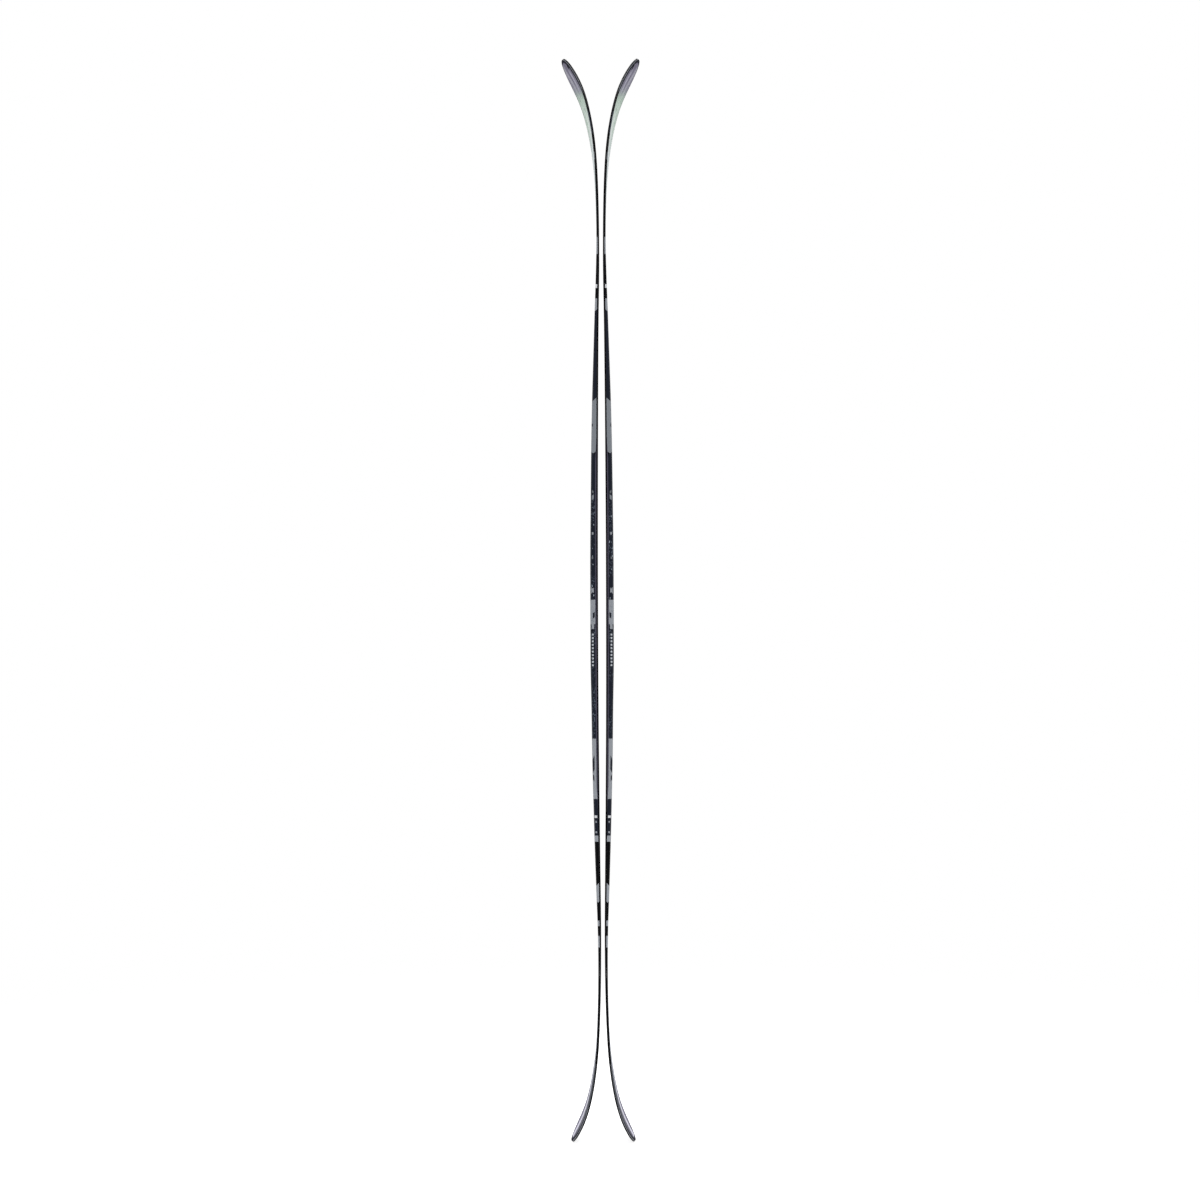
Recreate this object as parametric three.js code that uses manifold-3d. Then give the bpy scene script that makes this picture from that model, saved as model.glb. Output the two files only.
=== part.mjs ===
// A pair of wide backcountry cross-country skis, standing on their tails, base to base.
//
// Each ski is a moulded laminate: running base, steel edges, rubber foils, glass laminates, a wood
// core of five stringers, spacers, sidewalls under the foot, carbon tape, binding plate, tip and
// tail rims, and a top sheet that wraps down over the sides.
//
// Frame: millimetres, +Z up along the skis towards the tips, +X from the left ski to the right
// ski, +Y across the skis, from the front edges to the back ones. The origin is on the floor,
// midway between the two tails.
//
// Each ski is laid out in its own mould coordinates:
//   arc    length along the running surface from the tail end
//   y      across the ski
//   level  distance above the running surface, towards the top sheet
import * as THREE from 'three';
import { mergeVertices } from 'three/addons/utils/BufferGeometryUtils.js';
import Module from 'manifold-3d';

const wasm = await Module();
wasm.setup();

// ---------------------------------------------------------------- driving dimensions (mm)
const CHORD = 1800; // straight length, tail end to tip end

// Side profile of the running surface: [height z, distance from the pair's middle plane].
// It carries the tail rise, rear contact, camber, front contact and long early-rise tip.
const PROFILE = [
  [0, 50.7], [20, 39.9], [45, 28.7], [80, 18.6], [120, 11.75], [160, 7.55], [200, 5.4],
  [240, 4.1], [285, 3.3], [330, 3.0], [400, 3.45], [500, 4.55], [600, 5.45], [700, 6.2],
  [800, 6.6], [900, 6.75], [1000, 6.7], [1100, 6.35], [1200, 5.85], [1300, 5.2], [1400, 4.15],
  [1480, 3.1], [1540, 3.7], [1580, 4.8], [1620, 6.9], [1660, 11.0], [1700, 18.2], [1740, 29.8],
  [1770, 44.1], [1800, 62.0],
];

// [height z, total thickness from running surface to top sheet]
const THICKNESS = [
  [0, 4.3], [60, 4.2], [160, 4.2], [240, 4.3], [300, 4.6], [360, 5.45], [420, 6.95], [490, 8.5],
  [560, 9.75], [640, 10.95], [720, 11.5], [790, 12.2], [880, 12.7], [980, 12.3], [1060, 11.7],
  [1140, 11.05], [1220, 9.85], [1290, 8.15], [1360, 6.5], [1430, 5.1], [1500, 4.4], [1580, 4.2],
  [1700, 4.2], [1800, 4.3],
];

// Outline, seen square to the running surface
const TIP_HALF = 128 / 2;
const WAIST_HALF = 96 / 2;
const TAIL_HALF = 116 / 2;
const WAIST_PLACE = 0.475; // share of the running surface's length, from the tail
const SIDECUT_POWER = 1.75; // how the width grows away from the waist
const TAIL_WIDEST = 150; // arc length from the tail end to the full tail width
const TIP_WIDEST = 175; // arc length from the tip end to the full tip width

// Blunt rounded ends: [arc length from the end, half width], drawn for these half widths.
const TAIL_ROUND_HALF = 58;
const TAIL_ROUND = [
  [0, 9], [2, 15], [7, 27.2], [16, 39.4], [30, 48.8], [50, 52.6], [80, 55.6],
];
const TIP_ROUND_HALF = 64;
const TIP_ROUND = [
  [110, 61.8], [80, 58.4], [55, 54.2], [36, 48.5], [22, 41.4], [12, 32.1], [6, 23.5], [2, 14.2],
  [0, 8.5],
];

// Layers
const GLUE = 0.05; // glue line between layers
const BUTT = 0.1; // gap of a butt joint along the ski
const BASE_T = 1.2; // polyethylene running base
const EDGE_W = 2.0; // steel edge bar
const EDGE_H = 1.9;
const FLANGE_W = 5.0; // the edge's anchoring flange, bonded under the laminate
const FLANGE_T = 0.6;
const FOIL_T = 0.15; // rubber foil over the edge
const FOIL_INSET = 0.3; // from the outline
const LOWER_LAM_T = 0.35; // lower glass laminate over the edges
const LOWER_LAM_INSET = 0.3; // from the outline
const BED_GAP = 0.1; // from the edge flanges to the laminate's thicker middle
const BED_OVERLAP = 0.15; // how far that middle reaches up into the sheet
const UPPER_LAM_T = 0.45;
const SHEET_T = 0.7; // top sheet
const TAPE_T = 0.3; // carbon tape on the core
const PLATE_T = 0.4; // aluminium binding plate let into the core
const RIM_W = 6.0; // width of the tip and tail rims at their ends

// Core stringer joints, measured from the ski's centre line
const CENTRE_HALF = 16;
const INNER_HALF = 34;
const TAPE_HALF = CENTRE_HALF - 0.5;
const PLATE_HALF = INNER_HALF - 0.2;

// Sidewalls
const SIDEWALL_W = 8;
const SIDEWALL_LIP = 4.4; // level of the top sheet's lip along the sidewalls
const SIDEWALL_HEEL = 0.3; // height of the sidewall's face where the lip starts to rise
const SIDEWALL_RAMP = 45; // arc length over which the lip rises
const SIDEWALL_BEVEL_W = 0.6; // bevel on the sidewall's upper inner corner
const SIDEWALL_BEVEL_H = 0.3;
const SIDEWALL_MIN_TOP = 0.4; // least width of the sidewall's top
const CORE_BEVEL_W = 0.3; // bevel on the core's top corner beside the sidewall

// The top sheet's outside: a leaning side wall, then a shoulder up to the flat top.
const FACE_INSET = 0.05; // lip and sidewall face, from the outline
const SHOULDER_IN = 0.3; // these three are shares of the height from lip to top
const SHOULDER_DROP = 0.22;
const CORNER_IN = 0.55;
const CORNER_EXTRA_IN = 0.4; // mm on top of that share
// An offset surface under it: shoulder drop and corner inset, as a share of the depth
const SHOULDER_OFFSET = 0.55;
const SHOULDER_MIN_DROP = 0.02; // the offset shoulder stays below the corner by this
const SHOULDER_MIN_W = 0.2; // and outside it by this

const MAX_SLANT = 2.2; // limit on insets where the outline turns across the ends

// Arc lengths from each end
const TAIL_JOINT = 80; // the steel edges stop and the rims start
const TIP_JOINT = 110;
const TAIL_RIM_SPREAD = 50; // the rims widen over this
const TIP_RIM_SPREAD = 60;
const TAIL_BLOCK = 7; // the rims close across the ends
const TIP_BLOCK = 6;
const BASE_TAIL = 16; // the running base stops
const BASE_TIP = 12;
const CORE_TAIL = 235; // the wood core stops
const CORE_TIP = 270;

// Heights z
const SIDEWALL_Z = [557, 1165];
const PLATE_Z = [690, 1070];
const FLAT_Z = [800, 960]; // dead flat stretch of the top under the binding
const FLAT_X = 19.25; // distance of that flat from the pair's middle plane

// ---------------------------------------------------------------- levels and depths
const FOIL_BOTTOM = EDGE_H + GLUE;
const FOIL_TOP = FOIL_BOTTOM + FOIL_T; // also the top of the rims
const LOWER_LAM_BOTTOM = FOIL_TOP + GLUE;
const LOWER_LAM_TOP = LOWER_LAM_BOTTOM + LOWER_LAM_T;
const CORE_FLOOR = LOWER_LAM_TOP + GLUE; // everything above the lower laminate starts here
const UPPER_LAM_DEPTH = SHEET_T + GLUE; // depths are below the top sheet's outside
const UPPER_LAM_INNER = UPPER_LAM_DEPTH + UPPER_LAM_T;
const CORE_DEPTH = UPPER_LAM_INNER + GLUE;

// ---------------------------------------------------------------- curves
const smooth = (q) => q * q * (3 - 2 * q); // eases 0..1
const clamp = (value, low, high) => Math.min(Math.max(value, low), high);

// Index of the knot that starts the segment holding x.
function segmentAt(xs, x) {
  let i = 0;
  while (i < xs.length - 2 && x > xs[i + 1]) i++;
  return i;
}

// Natural cubic spline through knots: its value and its slope.
function spline(knots) {
  const count = knots.length;
  const [xs, ys] = [0, 1].map((column) => knots.map((knot) => knot[column]));
  const bend = new Array(count).fill(0); // second derivatives
  const ratio = new Array(count).fill(0);
  const rest = new Array(count).fill(0);
  for (let i = 1; i < count - 1; i++) {
    const before = xs[i] - xs[i - 1];
    const after = xs[i + 1] - xs[i];
    const pivot = 2 * (before + after) - before * ratio[i - 1];
    const turn = (ys[i + 1] - ys[i]) / after - (ys[i] - ys[i - 1]) / before;
    ratio[i] = after / pivot;
    rest[i] = (6 * turn - before * rest[i - 1]) / pivot;
  }
  for (let i = count - 2; i > 0; i--) bend[i] = rest[i] - ratio[i] * bend[i + 1];

  const locate = (x) => {
    const i = segmentAt(xs, x);
    const span = xs[i + 1] - xs[i];
    return { i, span, left: (xs[i + 1] - x) / span, right: (x - xs[i]) / span };
  };
  const value = (x) => {
    const { i, span, left, right } = locate(x);
    const bow = (left ** 3 - left) * bend[i] + (right ** 3 - right) * bend[i + 1];
    return left * ys[i] + right * ys[i + 1] + (bow * span * span) / 6;
  };
  const slope = (x) => {
    const { i, span, left, right } = locate(x);
    const bow = (3 * right * right - 1) * bend[i + 1] - (3 * left * left - 1) * bend[i];
    return (ys[i + 1] - ys[i]) / span + (bow * span) / 6;
  };
  return { value, slope };
}

// Monotone cubic (Fritsch-Carlson): no overshoot, for thickness and outline.
function monotone(knots) {
  const last = knots.length - 1;
  const [xs, ys] = [0, 1].map((column) => knots.map((knot) => knot[column]));
  const chords = [];
  for (let i = 0; i < last; i++) chords.push((ys[i + 1] - ys[i]) / (xs[i + 1] - xs[i]));
  const slopes = [chords[0]];
  for (let i = 1; i < last; i++) {
    if (chords[i - 1] * chords[i] <= 0) {
      slopes.push(0);
      continue;
    }
    const before = xs[i] - xs[i - 1];
    const after = xs[i + 1] - xs[i];
    const weight0 = 2 * after + before;
    const weight1 = after + 2 * before;
    slopes.push((weight0 + weight1) / (weight0 / chords[i - 1] + weight1 / chords[i]));
  }
  slopes.push(chords[last - 1]);
  return (x) => {
    const held = clamp(x, xs[0], xs[last]);
    const i = segmentAt(xs, held);
    const span = xs[i + 1] - xs[i];
    const t = (held - xs[i]) / span;
    const t2 = t * t;
    const t3 = t2 * t;
    const values = ys[i] * (2 * t3 - 3 * t2 + 1) + ys[i + 1] * (3 * t2 - 2 * t3);
    return values + span * (slopes[i] * (t3 - 2 * t2 + t) + slopes[i + 1] * (t3 - t2));
  };
}

const profile = spline(PROFILE);
const thicknessAt = monotone(THICKNESS);

// Arc length along the running surface at each whole millimetre of height.
const ARC = [0];
for (let z = 1; z <= CHORD; z++) ARC.push(ARC[z - 1] + Math.hypot(1, profile.slope(z - 0.5)));
const LENGTH = ARC[CHORD];

function arcOfZ(z) {
  const i = Math.min(Math.floor(z), CHORD - 1);
  return ARC[i] + (z - i) * (ARC[i + 1] - ARC[i]);
}

function zOfArc(arc) {
  let low = 0;
  let high = CHORD;
  while (high - low > 1) {
    const middle = (low + high) >> 1;
    if (ARC[middle] > arc) high = middle;
    else low = middle;
  }
  return low + clamp((arc - ARC[low]) / (ARC[low + 1] - ARC[low]), 0, 1);
}

// Half width against arc length: rounded tail, sidecut, rounded tip.
const WAIST_ARC = WAIST_PLACE * LENGTH;
const TIP_WIDEST_ARC = LENGTH - TIP_WIDEST;
const sidecut = (endHalf, q) => WAIST_HALF + (endHalf - WAIST_HALF) * q ** SIDECUT_POWER;
const outlineAt = monotone([
  ...TAIL_ROUND.map(([end, half]) => [end, (half * TAIL_HALF) / TAIL_ROUND_HALF]),
  [115, TAIL_HALF - 0.7],
  [TAIL_WIDEST, TAIL_HALF],
  ...[0.15, 0.3, 0.45, 0.6, 0.75, 0.88].map((q) => [
    TAIL_WIDEST + q * (WAIST_ARC - TAIL_WIDEST), sidecut(TAIL_HALF, 1 - q),
  ]),
  [WAIST_ARC, WAIST_HALF],
  ...[0.12, 0.25, 0.4, 0.55, 0.7, 0.85].map((q) => [
    WAIST_ARC + q * (TIP_WIDEST_ARC - WAIST_ARC), sidecut(TIP_HALF, q),
  ]),
  [TIP_WIDEST_ARC, TIP_HALF],
  [LENGTH - 140, TIP_HALF - 0.5],
  ...TIP_ROUND.map(([end, half]) => [LENGTH - end, (half * TIP_HALF) / TIP_ROUND_HALF]),
]);

// ---------------------------------------------------------------- stations shared by every layer
const TIP_JOINT_ARC = LENGTH - TIP_JOINT;
const CORE_TIP_ARC = LENGTH - CORE_TIP;
const SIDEWALL_ARC = SIDEWALL_Z.map(arcOfZ);
const PLATE_ARC = PLATE_Z.map(arcOfZ);
const FLAT_ARC = FLAT_Z.map(arcOfZ);
const [SIDEWALL_START, SIDEWALL_END] = SIDEWALL_ARC;
const TOLERANCE = 0.01; // for matching a station to an arc length
const isWithin = (arc, [start, end]) => arc > start - TOLERANCE && arc < end + TOLERANCE;

// Arc lengths of the stations, tail to tip
const STATION_ARCS = [
  0, 2, TAIL_BLOCK, BASE_TAIL, 30, 50, TAIL_JOINT - BUTT, TAIL_JOINT, 115, 155, 195,
  CORE_TAIL - BUTT, CORE_TAIL, 290, 370, 460,
  SIDEWALL_START - BUTT, SIDEWALL_START, SIDEWALL_START + SIDEWALL_RAMP,
  PLATE_ARC[0] - BUTT, PLATE_ARC[0], ...FLAT_ARC, PLATE_ARC[1], PLATE_ARC[1] + BUTT,
  SIDEWALL_END - SIDEWALL_RAMP, SIDEWALL_END, SIDEWALL_END + BUTT,
  SIDEWALL_END + 110, SIDEWALL_END + 210, CORE_TIP_ARC, CORE_TIP_ARC + BUTT,
  ...[225, 180, 145, TIP_JOINT, TIP_JOINT - BUTT, 80, 55, 36, 22, BASE_TIP, TIP_BLOCK, 2, 0].map(
    (end) => LENGTH - end,
  ),
].sort((a, b) => a - b);

// How much longer an inset of the outline is when measured straight across the ski.
function slantAt(arc) {
  const before = Math.max(arc - 0.5, 0);
  const after = Math.min(arc + 0.5, LENGTH);
  const slope = (outlineAt(after) - outlineAt(before)) / (after - before);
  return Math.min(Math.hypot(1, slope), MAX_SLANT);
}

// Level of the top sheet's lip: low at the ends, raised along the sidewalls.
function lipAt(arc, hasSidewall) {
  const start = CORE_FLOOR + (hasSidewall ? SIDEWALL_HEEL : 0);
  const fromEnd = Math.min(arc - SIDEWALL_START, SIDEWALL_END - arc);
  return start + (SIDEWALL_LIP - start) * smooth(clamp(fromEnd / SIDEWALL_RAMP, 0, 1));
}

const STATIONS = STATION_ARCS.map((arc) => {
  const z = zOfArc(arc);
  const x = profile.value(z);
  const slope = profile.slope(z);
  const normalX = 1 / Math.hypot(1, slope);
  const hasSidewall = isWithin(arc, SIDEWALL_ARC);
  return {
    arc, x, z, normalX, hasSidewall,
    normalZ: -slope * normalX,
    thickness: isWithin(arc, FLAT_ARC) ? (FLAT_X - x) / normalX : thicknessAt(z),
    half: outlineAt(arc),
    slant: slantAt(arc),
    lip: lipAt(arc, hasSidewall),
    hasPlate: isWithin(arc, PLATE_ARC),
  };
});
const stationsIn = (start, end) => STATIONS.filter(({ arc }) => isWithin(arc, [start, end]));

const EDGE_RUN = stationsIn(TAIL_JOINT, TIP_JOINT_ARC);
const CORE_RUN = stationsIn(CORE_TAIL, CORE_TIP_ARC);
const SIDEWALL_RUN = stationsIn(...SIDEWALL_ARC);
const PLATE_RUN = stationsIn(...PLATE_ARC);

// ---------------------------------------------------------------- solids
// Triangles that close a section, all wound the way the section is.
function capTriangles(row) {
  const points = row.map(([y, level]) => new THREE.Vector2(y, level));
  const winding = (loop) => Math.sign(THREE.ShapeUtils.area(loop));
  return THREE.ShapeUtils.triangulateShape(points, []).map(([a, b, c]) =>
    winding([points[a], points[b], points[c]]) === winding(points) ? [a, b, c] : [a, c, b]);
}

// Lofts a closed section, given at each station as [y, level] points, along the bent ski.
// A side of -1 mirrors the section across the ski.
function loft(stations, section, side = 1) {
  const rows = stations.map((st) => section(st).map(([y, level]) => [side * y, level]));
  const size = rows[0].length;
  const positions = rows.flatMap((row, i) => {
    const { x, z, normalX, normalZ } = stations[i];
    return row.flatMap(([y, level]) => [x + level * normalX, y, z + level * normalZ]);
  });
  const index = [];
  for (let i = 0; i < rows.length - 1; i++) {
    for (let j = 0; j < size; j++) {
      const next = (j + 1) % size;
      const a = i * size + j;
      const b = i * size + next;
      const c = a + size;
      const d = b + size;
      // Neighbouring layers must split their twisted faces the same way.
      const isOuter = Math.abs(rows[i][j][0]) >= Math.abs(rows[i][next][0]) - 1e-6;
      if (isOuter) index.push(a, b, d, a, d, c);
      else index.push(a, b, c, b, d, c);
    }
  }
  const end = (rows.length - 1) * size;
  capTriangles(rows[0]).forEach(([a, b, c]) => index.push(a, c, b));
  capTriangles(rows.at(-1)).forEach(([a, b, c]) => index.push(end + a, end + b, end + c));
  const geometry = new THREE.BufferGeometry();
  geometry.setAttribute('position', new THREE.BufferAttribute(new Float32Array(positions), 3));
  geometry.setIndex(index);
  return faceOutward(geometry);
}

// Flips every triangle if the solid's signed volume is negative.
function faceOutward(geometry) {
  const position = geometry.getAttribute('position');
  const index = Array.from(geometry.index.array);
  const corners = [0, 1, 2].map(() => new THREE.Vector3());
  const [a, b, c] = corners;
  let volume = 0;
  for (let i = 0; i < index.length; i += 3) {
    corners.forEach((corner, j) => corner.fromBufferAttribute(position, index[i + j]));
    volume += a.dot(b.cross(c));
  }
  if (volume < 0) {
    for (let i = 0; i < index.length; i += 3) {
      [index[i + 1], index[i + 2]] = [index[i + 2], index[i + 1]];
    }
  }
  geometry.setIndex(index);
  return geometry;
}

const rectangle = (y0, y1, bottom, top) => [[y0, bottom], [y1, bottom], [y1, top], [y0, top]];
const slab = (half, bottom, top) => rectangle(-half, half, bottom, top);

function toManifold(geometry) {
  const merged = mergeVertices(geometry, 1e-4);
  return new wasm.Manifold(new wasm.Mesh({
    numProp: 3,
    vertProperties: new Float32Array(merged.attributes.position.array),
    triVerts: new Uint32Array(merged.index.array),
  }));
}

function join(...geometries) {
  const mesh = geometries.map(toManifold).reduce((a, b) => a.add(b)).getMesh();
  return new THREE.BufferGeometry()
    .setAttribute('position', new THREE.BufferAttribute(mesh.vertProperties, 3))
    .setIndex(new THREE.BufferAttribute(mesh.triVerts, 1));
}

// ---------------------------------------------------------------- section helpers
// Inner boundary of the band round the outline: the steel edges, widening to the rims.
function bandInner({ arc, half, slant }) {
  const fromTail = (TAIL_JOINT - arc) / TAIL_RIM_SPREAD;
  const fromTip = (arc - TIP_JOINT_ARC) / TIP_RIM_SPREAD;
  const spread = smooth(clamp(Math.max(fromTail, fromTip), 0, 1));
  return half - (EDGE_W + (RIM_W - EDGE_W) * spread) * slant;
}

// Lip, shoulder and top corner of the surface at a depth below the top sheet's outside.
function surfaceAt({ half, lip, thickness, slant }, depth) {
  const rise = thickness - lip;
  const inward = depth * slant; // the side walls lean, so they move in by a little more
  const face = half - FACE_INSET;
  const shoulderY = face - SHOULDER_IN * rise - inward;
  const cornerY = face - CORNER_IN * rise - CORNER_EXTRA_IN - inward * SHOULDER_OFFSET;
  const top = thickness - depth;
  const shoulderLevel = Math.min(
    thickness - SHOULDER_DROP * rise - depth * SHOULDER_OFFSET,
    top - (depth ? SHOULDER_MIN_DROP : 0),
  );
  return [
    [face - inward, lip],
    [shoulderY, shoulderLevel],
    [Math.min(cornerY, shoulderY - SHOULDER_MIN_W), top],
  ];
}

const mirrored = (points) => points.map(([y, level]) => [-y, level]);

// A shell between two such surfaces, wrapped over both sides.
function shell(station, outerDepth, innerDepth) {
  const outer = surfaceAt(station, outerDepth);
  const inner = surfaceAt(station, innerDepth);
  return [...outer, ...mirrored(outer).reverse(), ...mirrored(inner), ...inner.reverse()];
}

const underLaminate = (st) => st.thickness - CORE_DEPTH;
const coreTop = (st) => underLaminate(st) - (st.hasPlate ? PLATE_T + GLUE : 0);

// ---------------------------------------------------------------- pieces of one ski
const baseSheet = () =>
  loft(stationsIn(BASE_TAIL, LENGTH - BASE_TIP), (st) => slab(bandInner(st) - GLUE, 0, BASE_T));

// Square bar with a thin flange that the laminate holds down.
const steelEdge = (side) => loft(EDGE_RUN, ({ half }) => {
  const barInner = half - EDGE_W;
  const flangeInner = barInner - FLANGE_W;
  const flangeBottom = EDGE_H - FLANGE_T;
  return [
    [barInner, 0], [half, 0], [half, EDGE_H],
    [flangeInner, EDGE_H], [flangeInner, flangeBottom], [barInner, flangeBottom],
  ];
}, side);

const edgeFoil = (side) => loft(EDGE_RUN, ({ half }) =>
  rectangle(half - EDGE_W - FLANGE_W, half - FOIL_INSET, FOIL_BOTTOM, FOIL_TOP), side);

// A visible face over the edge, and a step that carries the top sheet's lip.
const sidewall = (side) => loft(SIDEWALL_RUN, (st) => {
  const [[lipY], [shoulderY, top]] = surfaceAt(st, CORE_DEPTH);
  const inner = st.half - SIDEWALL_W;
  const face = st.half - FACE_INSET;
  const step = st.lip - GLUE;
  return [
    [inner, CORE_FLOOR], [face, CORE_FLOOR], [face, step], [lipY, step], [shoulderY, top],
    [Math.min(inner + SIDEWALL_BEVEL_W, shoulderY - SIDEWALL_MIN_TOP), top],
    [inner, top - SIDEWALL_BEVEL_H],
  ];
}, side);

const coreInner = (side) => loft(CORE_RUN, (st) =>
  rectangle(CENTRE_HALF + GLUE, INNER_HALF - GLUE, CORE_FLOOR, coreTop(st)), side);

// Reaches out to the sidewall under the foot, and to the upper laminate elsewhere.
const coreOuter = (side) => loft(CORE_RUN, (st) => {
  const [[lipY], shoulder, [cornerY]] = surfaceAt(st, CORE_DEPTH);
  const inner = INNER_HALF + GLUE;
  const wall = st.half - SIDEWALL_W;
  const top = underLaminate(st);
  const outerPoints = st.hasSidewall
    ? [
      [wall - GLUE, CORE_FLOOR],
      [wall - GLUE, shoulder[1] - SIDEWALL_BEVEL_H],
      [wall - CORE_BEVEL_W, top],
    ]
    : [[lipY, CORE_FLOOR], shoulder, [cornerY, top]];
  return [[inner, CORE_FLOOR], ...outerPoints, [inner, top]];
}, side);

const coreCenter = () => loft(CORE_RUN, (st) =>
  slab(CENTRE_HALF, CORE_FLOOR, coreTop(st) - TAPE_T - GLUE));

const carbonTape = () => loft(CORE_RUN, (st) =>
  slab(TAPE_HALF, coreTop(st) - TAPE_T, coreTop(st)));

const bindingPlate = () => loft(PLATE_RUN, (st) =>
  slab(PLATE_HALF, underLaminate(st) - PLATE_T, underLaminate(st)));

// A sheet over the edges, thicker where it beds down between the flanges.
const lowerLaminate = () => join(
  loft(STATIONS, ({ half, slant }) =>
    slab(half - LOWER_LAM_INSET * slant, LOWER_LAM_BOTTOM, LOWER_LAM_TOP)),
  loft(EDGE_RUN, ({ half }) =>
    slab(half - EDGE_W - FLANGE_W - BED_GAP, BASE_T + GLUE, LOWER_LAM_BOTTOM + BED_OVERLAP)),
);

// Carries the thickness on from the core into a turned-up end.
const spacer = (start, end) => loft(stationsIn(start, end), (st) => {
  const [[lipY], shoulder, corner] = surfaceAt(st, CORE_DEPTH);
  const half = [[lipY, CORE_FLOOR], shoulder, corner];
  return [...mirrored(half).reverse(), ...half];
});

// Two arms along the outline, joined by a block across the end.
const rim = (arms, block) => join(
  ...[-1, 1].map((side) =>
    loft(arms, (st) => rectangle(bandInner(st), st.half, 0, FOIL_TOP), side)),
  loft(block, ({ half }) => slab(half, 0, FOIL_TOP)),
);
const tipRim = () => rim(
  stationsIn(TIP_JOINT_ARC + BUTT, LENGTH - TIP_BLOCK),
  stationsIn(LENGTH - TIP_BLOCK, LENGTH),
);
const tailRim = () => rim(
  stationsIn(TAIL_BLOCK, TAIL_JOINT - BUTT),
  stationsIn(0, TAIL_BLOCK),
);

const upperLaminate = () => loft(STATIONS, (st) => shell(st, UPPER_LAM_DEPTH, UPPER_LAM_INNER));
const topSheet = () => loft(STATIONS, (st) => shell(st, 0, SHEET_T));

// ---------------------------------------------------------------- materials
const material = (color, { roughness, metalness = 0 }) =>
  new THREE.MeshStandardMaterial({ color, roughness, metalness });
const MATERIALS = {
  base: material(0x1b1c20, { roughness: 0.45 }),
  steel: material(0x8d9096, { roughness: 0.3, metalness: 1 }),
  rubber: material(0x101012, { roughness: 0.9 }),
  glass: material(0xbfc6a8, { roughness: 0.5 }),
  sidewall: material(0x3b3947, { roughness: 0.5 }),
  rim: material(0x17181b, { roughness: 0.5 }),
  spacer: material(0x2a2b2f, { roughness: 0.6 }),
  carbon: material(0x121316, { roughness: 0.35 }),
  plate: material(0xb9bcc2, { roughness: 0.35, metalness: 1 }),
  wood: material(0xd9b98a, { roughness: 0.7 }),
  denseWood: material(0xb98a58, { roughness: 0.7 }),
  sheet: material(0x9a98ad, { roughness: 0.35 }),
};

// ---------------------------------------------------------------- the pair
// [name, geometry, material]
const sidePieces = (name, side) => [
  ['steel_edge_' + name, steelEdge(side), MATERIALS.steel],
  ['edge_foil_' + name, edgeFoil(side), MATERIALS.rubber],
  ['sidewall_' + name, sidewall(side), MATERIALS.sidewall],
  ['core_inner_' + name, coreInner(side), MATERIALS.wood],
  ['core_outer_' + name, coreOuter(side), MATERIALS.wood],
];
const PIECES = [
  ['base_sheet', baseSheet(), MATERIALS.base],
  ...sidePieces('front', -1),
  ...sidePieces('back', 1),
  ['core_center', coreCenter(), MATERIALS.denseWood],
  ['carbon_tape', carbonTape(), MATERIALS.carbon],
  ['binding_plate', bindingPlate(), MATERIALS.plate],
  ['lower_laminate', lowerLaminate(), MATERIALS.glass],
  ['tip_spacer', spacer(CORE_TIP_ARC + BUTT, LENGTH), MATERIALS.spacer],
  ['tail_spacer', spacer(0, CORE_TAIL - BUTT), MATERIALS.spacer],
  ['tip_rim', tipRim(), MATERIALS.rim],
  ['tail_rim', tailRim(), MATERIALS.rim],
  ['upper_laminate', upperLaminate(), MATERIALS.glass],
  ['top_sheet', topSheet(), MATERIALS.sheet],
];

// The right ski has its base towards -X. The left ski is its mirror image in the middle plane.
function makeSki(sideName, flip) {
  const ski = new THREE.Group();
  ski.scale.x = flip;
  for (const [name, geometry, pieceMaterial] of PIECES) {
    const mesh = new THREE.Mesh(geometry, pieceMaterial);
    mesh.name = sideName + '_' + name;
    ski.add(mesh);
  }
  return ski;
}

const pair = new THREE.Group();
pair.add(makeSki('right', 1), makeSki('left', -1));

export default pair;
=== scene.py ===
"""Looks for a pair of backcountry cross-country skis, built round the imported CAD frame.

The skis stand upright on their tails, base to base, with +Z towards the tips. One ski is laid out in
mould coordinates, in millimetres: s along the running surface from the tail end, y across, n above
the running surface. The right ski has its base towards -X; the left is its mirror image in X.
Heights (z) are along the chord, from the tail end, in millimetres.
"Front" pieces are on the -Y side, towards the camera; "back" pieces are on the +Y side.
"""
import math
from functools import cached_property

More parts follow.
